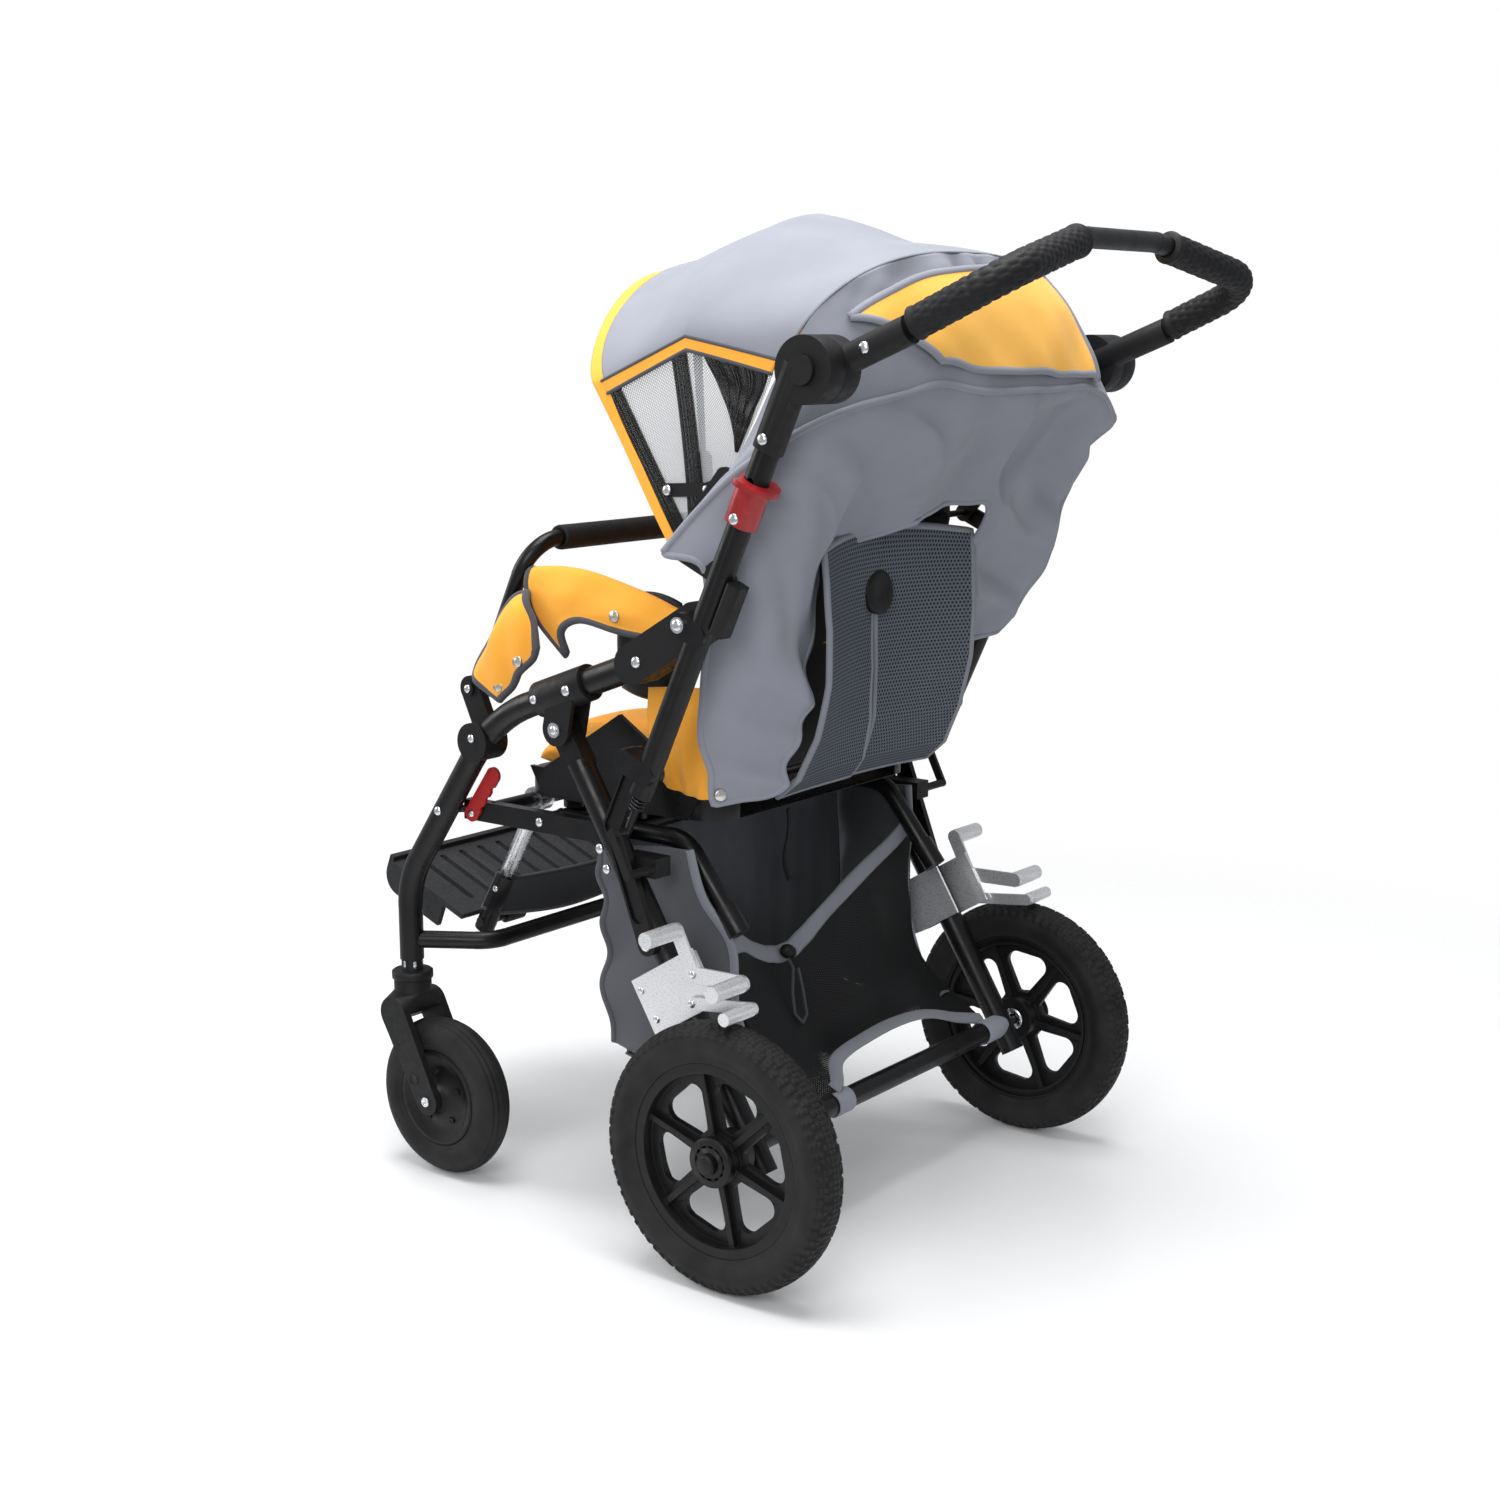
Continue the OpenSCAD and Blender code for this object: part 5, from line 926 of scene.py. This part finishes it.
def hood_top_place(u, v):
    t = 36.1 + 107.8 * u
    a = rear_lean + 67.5 * v
    bay = (a - rear_lean) / 34 if a < mid_lean else (a - mid_lean) / 36
    hollow = math.sin(math.pi * bay) * math.sin(math.pi * u)
    crease = 2.6 * math.sin(t / 6 + a / 8 + 2 * math.sin(a / 17)) + 1.8 * math.sin((t - 90) / 11 - a / 5)
    crease += 3.4 * math.sin(t / 15 - a / 14) * math.sin(a / 9)
    return row(*hood_point(a, t, 3 - 7 * hollow * abs(hollow) + crease * min(1, 1.6 * hollow)))


hood_top = cloth_sheet("hood_top", 150, 90, hood_top_place, grey_cloth, None, 0.0018)
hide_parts("hood_cover")
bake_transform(hood_top)


def visor_place(u, v):
    t = 180 * u
    high = math.sin(math.radians(t)) ** 2
    return row(*front_edge(t, (10 + 11 * high) * v - 1, 4.5 - 3 * v + 0.8 * math.sin(t / 5)))


visor = cloth_sheet("visor_band", 180, 8, visor_place, orange_cloth, None, 0.003)
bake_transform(visor)
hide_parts("hood_front_bow")

for side, side_name in both_sides:
    def side_place(u, v, out):
        """A place below the stripe: u runs from the front band to the rear bow, v upwards."""
        t = 33.4 * v
        spot = hood_point(126 - 64 * u, t, out)
        spot += (front_edge(t, 9, out) - hood_point(126, t, out)) * (1 - u) ** 2
        return row(side * spot.x, spot.y, spot.z)

    def window_place(u, v):
        return side_place(u, v, 1.2 * math.sin(u * 8 + v * 5) * v * u)

    def stripe_place(u, v):
        return side_place(u, 1 + 0.09 * v, 3.2)

    def front_mesh_place(u, v):
        return side_place(u * 20 / (90 + 160 * v), v, 1.8 + 0.9 * math.sin(u * 9))

    def middle_mesh_place(u, v):
        across = 0.5 + (2 * u - 1) * 10 / (52 + 160 * v) - 0.05 * v
        return side_place(across, 0.04 + 0.96 * v, 2 + 0.9 * math.sin(u * 9))

    def ruffle_place(u, v):
        start = 0.6 + 0.36 * (1 - v)
        gather = math.sin(u * 24 + 2 * math.sin(v * 6)) * (0.4 + 0.6 * v)
        return side_place(start + (0.99 - start) * u + 0.012 * gather, 0.42 + 0.57 * v, 2.4 + 1.8 * gather)

    for part_name, place, columns, rows, paint, thick, flat, slot_name in (
        ("window_", window_place, 60, 40, net_grey, 0.0006, (0.19, 0.13), "grey_cloth"),
        ("stripe_", stripe_place, 70, 6, orange_cloth, 0.0022, (0.245, 0.016), "orange_cloth"),
        ("front_mesh_", front_mesh_place, 14, 50, net_black, 0.0008, (0.19, 0.02), "dark_cloth"),
        ("middle_mesh_", middle_mesh_place, 14, 50, net_black, 0.0008, (0.17, 0.02), "dark_cloth"),
        ("ruffle_", ruffle_place, 96, 40, net_black, 0.0008, (0.07, 0.07), "dark_cloth"),
    ):
        panel = cloth_sheet(part_name + side_name, columns, rows, place, paint, None, thick)
        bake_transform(panel)
    for edge_name, edge_v in (("stripe_low_", 0), ("stripe_high_", 1)):
        cord_piece = edging(edge_name + side_name, stripe_place, [(k / 60, edge_v) for k in range(61)], 0.0022, 0.0022,
                            binding_cloth, None)
        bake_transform(cord_piece)


# Cape: the grey cloth that runs on from the hood's rear bow, down over the back frame to a piped
# seam and on as a loose skirt with a wing at each side, tacked to the back tubes.
cape_rows = [
    # place across the hood's rear bow, seam, then four places down to the hem
    (2, (290, -94, 790), (288, -44, 776), (254, -66, 690), (243, -84, 600), (228, -77, 511)),
    (8.5, (290, -46, 838), (284, -20, 788), (250, -44, 700), (230, -55, 605), (206, -52, 515)),
    (19, (283, 0, 878), (270, 2, 802), (238, -12, 710), (206, -28, 620), (182, -30, 524)),
    (32, (262, 42, 909), (244, 33, 825), (214, 15, 740), (188, -3, 655), (168, -12, 572)),
    (46, (238, 72, 930), (226, 48, 845), (202, 26, 762), (178, 6, 680), (160, -6, 600)),
    (59, (206, 92, 943), (198, 58, 865), (182, 24, 785), (162, -4, 705), (146, -14, 640)),
    (70, (150, 107, 953), (160, 70, 880), (158, 28, 810), (146, -8, 750), (132, -18, 700)),
    (78.5, (100, 124, 964), (120, 90, 905), (134, 44, 850), (132, 4, 812), (122, -22, 772)),
    (87.5, (30, 134, 955), (45, 105, 905), (60, 66, 858), (76, 20, 814), (92, -16, 778)),
    (96, (-60, 139, 955), (-50, 110, 915), (-38, 80, 880), (-30, 52, 845), (-26, 33, 818)),
    (104.5, (-120, 142, 955), (-114, 112, 925), (-108, 80, 892), (-104, 52, 856), (-100, 32, 824)),
    (113.5, (-170, 142, 957), (-164, 112, 930), (-156, 80, 890), (-150, 50, 845), (-146, 30, 806)),
    (119, (-195, 142, 953), (-184, 110, 918), (-170, 70, 862), (-160, 26, 770), (-156, -14, 668)),
    (126, (-222, 140, 945), (-214, 102, 906), (-200, 58, 842), (-186, 14, 748), (-178, -28, 654)),
    (137, (-258, 132, 925), (-252, 94, 892), (-242, 54, 832), (-228, 14, 745), (-210, -30, 648)),
    (154, (-284, 122, 917), (-284, 90, 888), (-280, 56, 826), (-268, 20, 740), (-244, -30, 648)),
    (170.5, (-300, 112, 912), (-301, 82, 882), (-300, 50, 824), (-294, 20, 732), (-268, -32, 648)),
    (178, (-312, 102, 908), (-314, 70, 878), (-315, 42, 818), (-312, 14, 728), (-286, -34, 650)),
]
cape_net = [[] for _ in range(7)]
for bow_t, *drop in cape_rows:
    bow = hood_point(rear_lean, bow_t, 2)
    seam = Vector(drop[0])
    cape_net[0].append(row(*bow))
    puffed = max(0, math.sin(math.radians((bow_t - 20) / 0.78)))
    cape_net[1].append(row(*((bow + seam) / 2 + Vector((0, 7, 9)) * puffed)))
    for k, spot in enumerate(drop):
        cape_net[2 + k].append(row(*spot))


def cape_place(u, v):
    p = net_surface(cape_net, u, v)
    loose = min(1, max(0, (v - 0.33) / 0.14))
    low = loose * min(1, max(0, (v - 0.45) / 0.3))
    slant = p.x * 30 - p.z * 46 + 1.6 * math.sin(p.z * 15 + p.x * 7)
    middle = 0.35 + 0.65 * math.exp(-((p.x + 0.06) / 0.17) ** 2)
    fold = (0.026 * (1 - abs(math.sin(slant / 2))) ** 1.3 - 0.008) * middle + 0.004 * math.sin(slant * 1.7 + p.x * 9)
    small = 0.0014 * math.sin(p.x * 47 + p.z * 31) * math.sin(p.z * 53 - p.x * 19)
    wing = math.exp(-(min(u, 1 - u) / 0.03) ** 2)
    puckers = 0.0032 * math.sin(p.x * 95 + 2 * math.sin(p.x * 31)) * math.exp(-((v - 0.05) / 0.035) ** 2)
    puckers *= max(0, math.sin(math.pi * min(1, max(0, (u - 0.24) / 0.5))))
    back = fold * loose * (1 - 0.7 * wing) + low * 0.002 * math.sin(p.x * 60) + small + puckers
    return p + Vector((0, back, puckers))


cape = cloth_sheet("cape", 200, 130, cape_place, grey_cloth, "back_frame", 0.0018)
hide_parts("back_curtain")
edging("cape_seam", cape_place, [(k / 200, 0.334) for k in range(201)], 0.0045, 0.0045, grey_cloth, "back_frame")
hem_trail = [(0, 1 / 3 + 2 / 3 * k / 60) for k in range(60)] + [(k / 220, 1) for k in range(220)]
hem_trail += [(1, 1 - 2 / 3 * k / 60) for k in range(61)]
edging("cape_hem", cape_place, hem_trail, 0.0042, 0.0026, grey_cloth, "back_frame")
lathed("cape_studs", stud_metal, "back_frame", "steel",
       *((stud_profile, row(side * 226, -70, 522), (side * 0.5, 0.86, 0), 24) for side in (1, -1)))


# Rear flap: an orange panel bound in grey that hangs from the hood's rear bow over the cape and
# can be rolled up to open a window.
def flap_place(u, v):
    """The flap lies on the cape: places across and down the cape, then a little puff."""
    across = (0.285 + 0.355 * u) * (1 - v) + (0.405 + 0.31 * u) * v
    start = 0.085 * (1 - u) + 0.012
    down = start + (0.285 + 0.02 * u - start) * v
    p = net_surface(cape_net, across, down)
    puff = 0.005 + 0.004 * math.sin(math.pi * v) + 0.0016 * math.sin(u * 13 + v * 9) * v
    puff += 0.0012 * math.sin(u * 31) * v * v
    return p + Vector((0, puff, puff * 0.5))


# A lighter, yellower copy of the orange cloth: painted light, for the flap lit from above and from behind.
flap_cloth_painted_light = cloth_finish("flap_cloth_painted_light", (0.97, 0.51, 0.09))
rear_flap = cloth_sheet("rear_flap", 90, 40, flap_place, flap_cloth_painted_light, "back_frame", 0.002)
edging("rear_flap_tape", flap_place, rim_trail(240), 0.0045, 0.0028, grey_cloth, "back_frame")


# Basket: grey cloth sides hung from the seat tubes, a black net back gathered on a drawstring and
# a hem laced round the rear cross tube by two cloth loops.
# A much darker copy of the hood's grey cloth: painted shade, for the basket in the shade under the seat.
basket_cloth_painted_shade = cloth_finish("basket_cloth_painted_shade", (0.085, 0.089, 0.1), 0.2)
basket_net = surface("basket_net", (0.0085, 0.0088, 0.0095), 0.6, 0, 0.22)
see_through(basket_net, 90, 56, 0.6)
for side, side_name in both_sides:
    rear_edge = ((-117, -102, -70, -64, -34), (-120, -114, -112, -106, -76))[side < 0]
    sag = 16 if side < 0 else 0
    panel_net = mirrored(
        side,
        [(222, -249, 440), (221, -205, 446), (220, -160, 450), (219, rear_edge[0], 453)],
        [(223, -244, 395), (222, -200, 396), (220, -155, 398), (217, rear_edge[1], 398)],
        [(223, -238, 342), (221, -190, 342), (217, -140, 344), (210, rear_edge[2], 347)],
        [(222, -246, 276), (219, -195, 274), (214, -140, 274), (207, rear_edge[3], 277)],
        [(216, -236, 204 - sag), (212, -180, 196 - sag), (208, -120, 198 - sag), (205, rear_edge[4], 210 - sag)],
    )

    def panel_place(u, v):
        p = net_surface(panel_net, u, v)
        wave = 0.003 * math.sin(v * 17 + 2 * math.sin(u * 5)) * (1 - u) ** 2 + 0.003 * math.sin(u * 8 + v * 6)
        return p + Vector((side * wave, 0.004 * math.sin(v * 23) * (1 - u) ** 3, 0))

    panel = cloth_sheet("basket_side_" + side_name, 60, 60, panel_place, basket_cloth_painted_shade, "front_frame",
                        0.002)
    edging("basket_edge_" + side_name, panel_place, [(0, k / 80) for k in range(81)], 0.0045, 0.003,
           binding_cloth, "front_frame")
    edging("basket_seam_" + side_name, panel_place, [(1, k / 80) for k in range(81)], 0.006, 0.003,
           sling_tape, "front_frame")
    if side == 1:
        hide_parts("basket")


def tray_place(u, v):
    """Front wall and floor in one piece: down the front, then back along the floor."""
    a = u * 2 - 1
    if v < 0.5:
        f = v * 2
        y, z, half = -232 + 6 * f + 10 * math.sin(math.pi * f), 470 - 282 * f, 220 - 11 * f
        z += 10 * (1 - f) * -math.cos(a * math.pi / 2)
    else:
        f = v * 2 - 1
        y, z, half = -226 + 184 * f, 188 + 12 * f * f - 10 * math.sin(math.pi * f), 209 - 6 * f
        z -= 8 * math.cos(a * math.pi / 2) * math.sin(math.pi * min(1, f + 0.1))
    ripple = 2.2 * math.sin(a * 15 + v * 11) + 1.6 * math.sin(a * 31 - v * 7)
    return row(a * half, y + ripple * (1 if v < 0.5 else 0.2), z + (ripple if v >= 0.5 else 0))


tray = cloth_sheet("basket_tray", 80, 80, tray_place, basket_cloth_painted_shade, None, 0.002)
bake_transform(tray)


net_rows = mirrored(
    1,
    [(205, -70, 350), (160, -92, 340), (125, -102, 322), (85, -108, 306), (41, -110, 304), (-40, -112, 338),
     (-104, -112, 367), (-170, -112, 392), (-214, -111, 416)],
    [(206, -64, 300), (158, -76, 284), (120, -84, 270), (84, -88, 264), (36, -91, 266), (-40, -94, 284),
     (-106, -97, 300), (-172, -101, 312), (-207, -104, 310)],
    [(205, -34, 230), (154, -40, 218), (112, -46, 210), (82, -50, 212), (28, -54, 220), (-42, -60, 226),
     (-108, -66, 230), (-175, -76, 236), (-207, -84, 236)],
    [(205, 2, 166), (150, 4, 160), (104, 2, 166), (84, -10, 194), (18, -12, 204), (-45, -12, 206), (-112, -12, 197),
     (-181, -12, 173), (-230, -4, 160)],
)


def net_place(u, v):
    p = net_surface(net_rows, u, v)
    hang = 4.5 * math.sin(p.x * 52 + v * 3) + 2.5 * math.sin(p.x * 31 - v * 6)
    gather = 1.5 * math.sin(p.x * 190) * math.exp(-((u - 0.44) / 0.09) ** 2) * (1 - v) ** 2
    return p + Vector((0, (hang * math.sin(math.pi * v) + gather) / 1000, 0))


net_back = cloth_sheet("basket_net", 130, 60, net_place, basket_net, None, 0.0009)
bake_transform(net_back)
for trim_name, trail, trim_half in (
    ("basket_trim", [(k / 160, 0.02) for k in range(161)], 0.0108),
    ("basket_hem", [(0.24 + 0.76 * k / 120, 0.98) for k in range(121)], 0.009),
):
    trim = edging(trim_name, net_place, trail, trim_half, 0.0026, sling_tape, None)
    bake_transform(trim)
for side, side_name in both_sides:
    half, loop_x = (15, 98) if side == 1 else (22, -236)
    lathed("tube_loop_" + side_name, grey_cloth, "rear_frame", "grey_cloth",
           ([(12.8, half), (14.4, half + 0.5), (15, half - 1), (14.7, 0), (15, 1 - half), (14.4, -0.5 - half),
             (12.8, -half), (12.8, half)], row(loop_x, 0, 150), (1, 0, 0), 40))


# Drawstring: a thin grey cord that gathers the basket's net back, held by a black toggle in the
# middle with both ends hanging. A black web strap hangs from the seat frame inside the basket.
cord_grey = cloth_finish("cord_grey", (0.05, 0.052, 0.058), 0.3)
string_run = [row(*spot) for spot in ((66, -98, 300), (72, -84, 288), (84, -76, 262), (90, -68, 240),
                                      (82, -62, 228), (72, -64, 236), (66, -74, 262), (62, -84, 286))]
string_line, string_ways, string_length = walk(string_run, 64)
string_outs = [way.cross(Vector((0.31, 0.87, 0.39))).normalized() for way in string_ways]
string = taped("drawstring", string_line, string_outs, 0.0016, 0.0016, cord_grey, "front_frame", 10)
lathed("toggle", moulded_black, "front_frame", "black_plastic",
       ([(0, 11), (5, 10.6), (7.6, 8), (8.4, 3), (7.2, 1), (8.6, -2), (8.2, -9), (5, -11), (0, -11)],
        row(64, -98, 304), (0.8, 0.3, 0.35), 24))


def strap_place(u, v):
    return row(-72 + 10 * u + 6 * math.sin(v * 4), -196 + 5 * math.sin(v * 6) + 3 * u, 440 - 92 * v)


strap = cloth_sheet("hanging_strap", 6, 40, strap_place, dark_cloth, "front_frame", 0.0018)
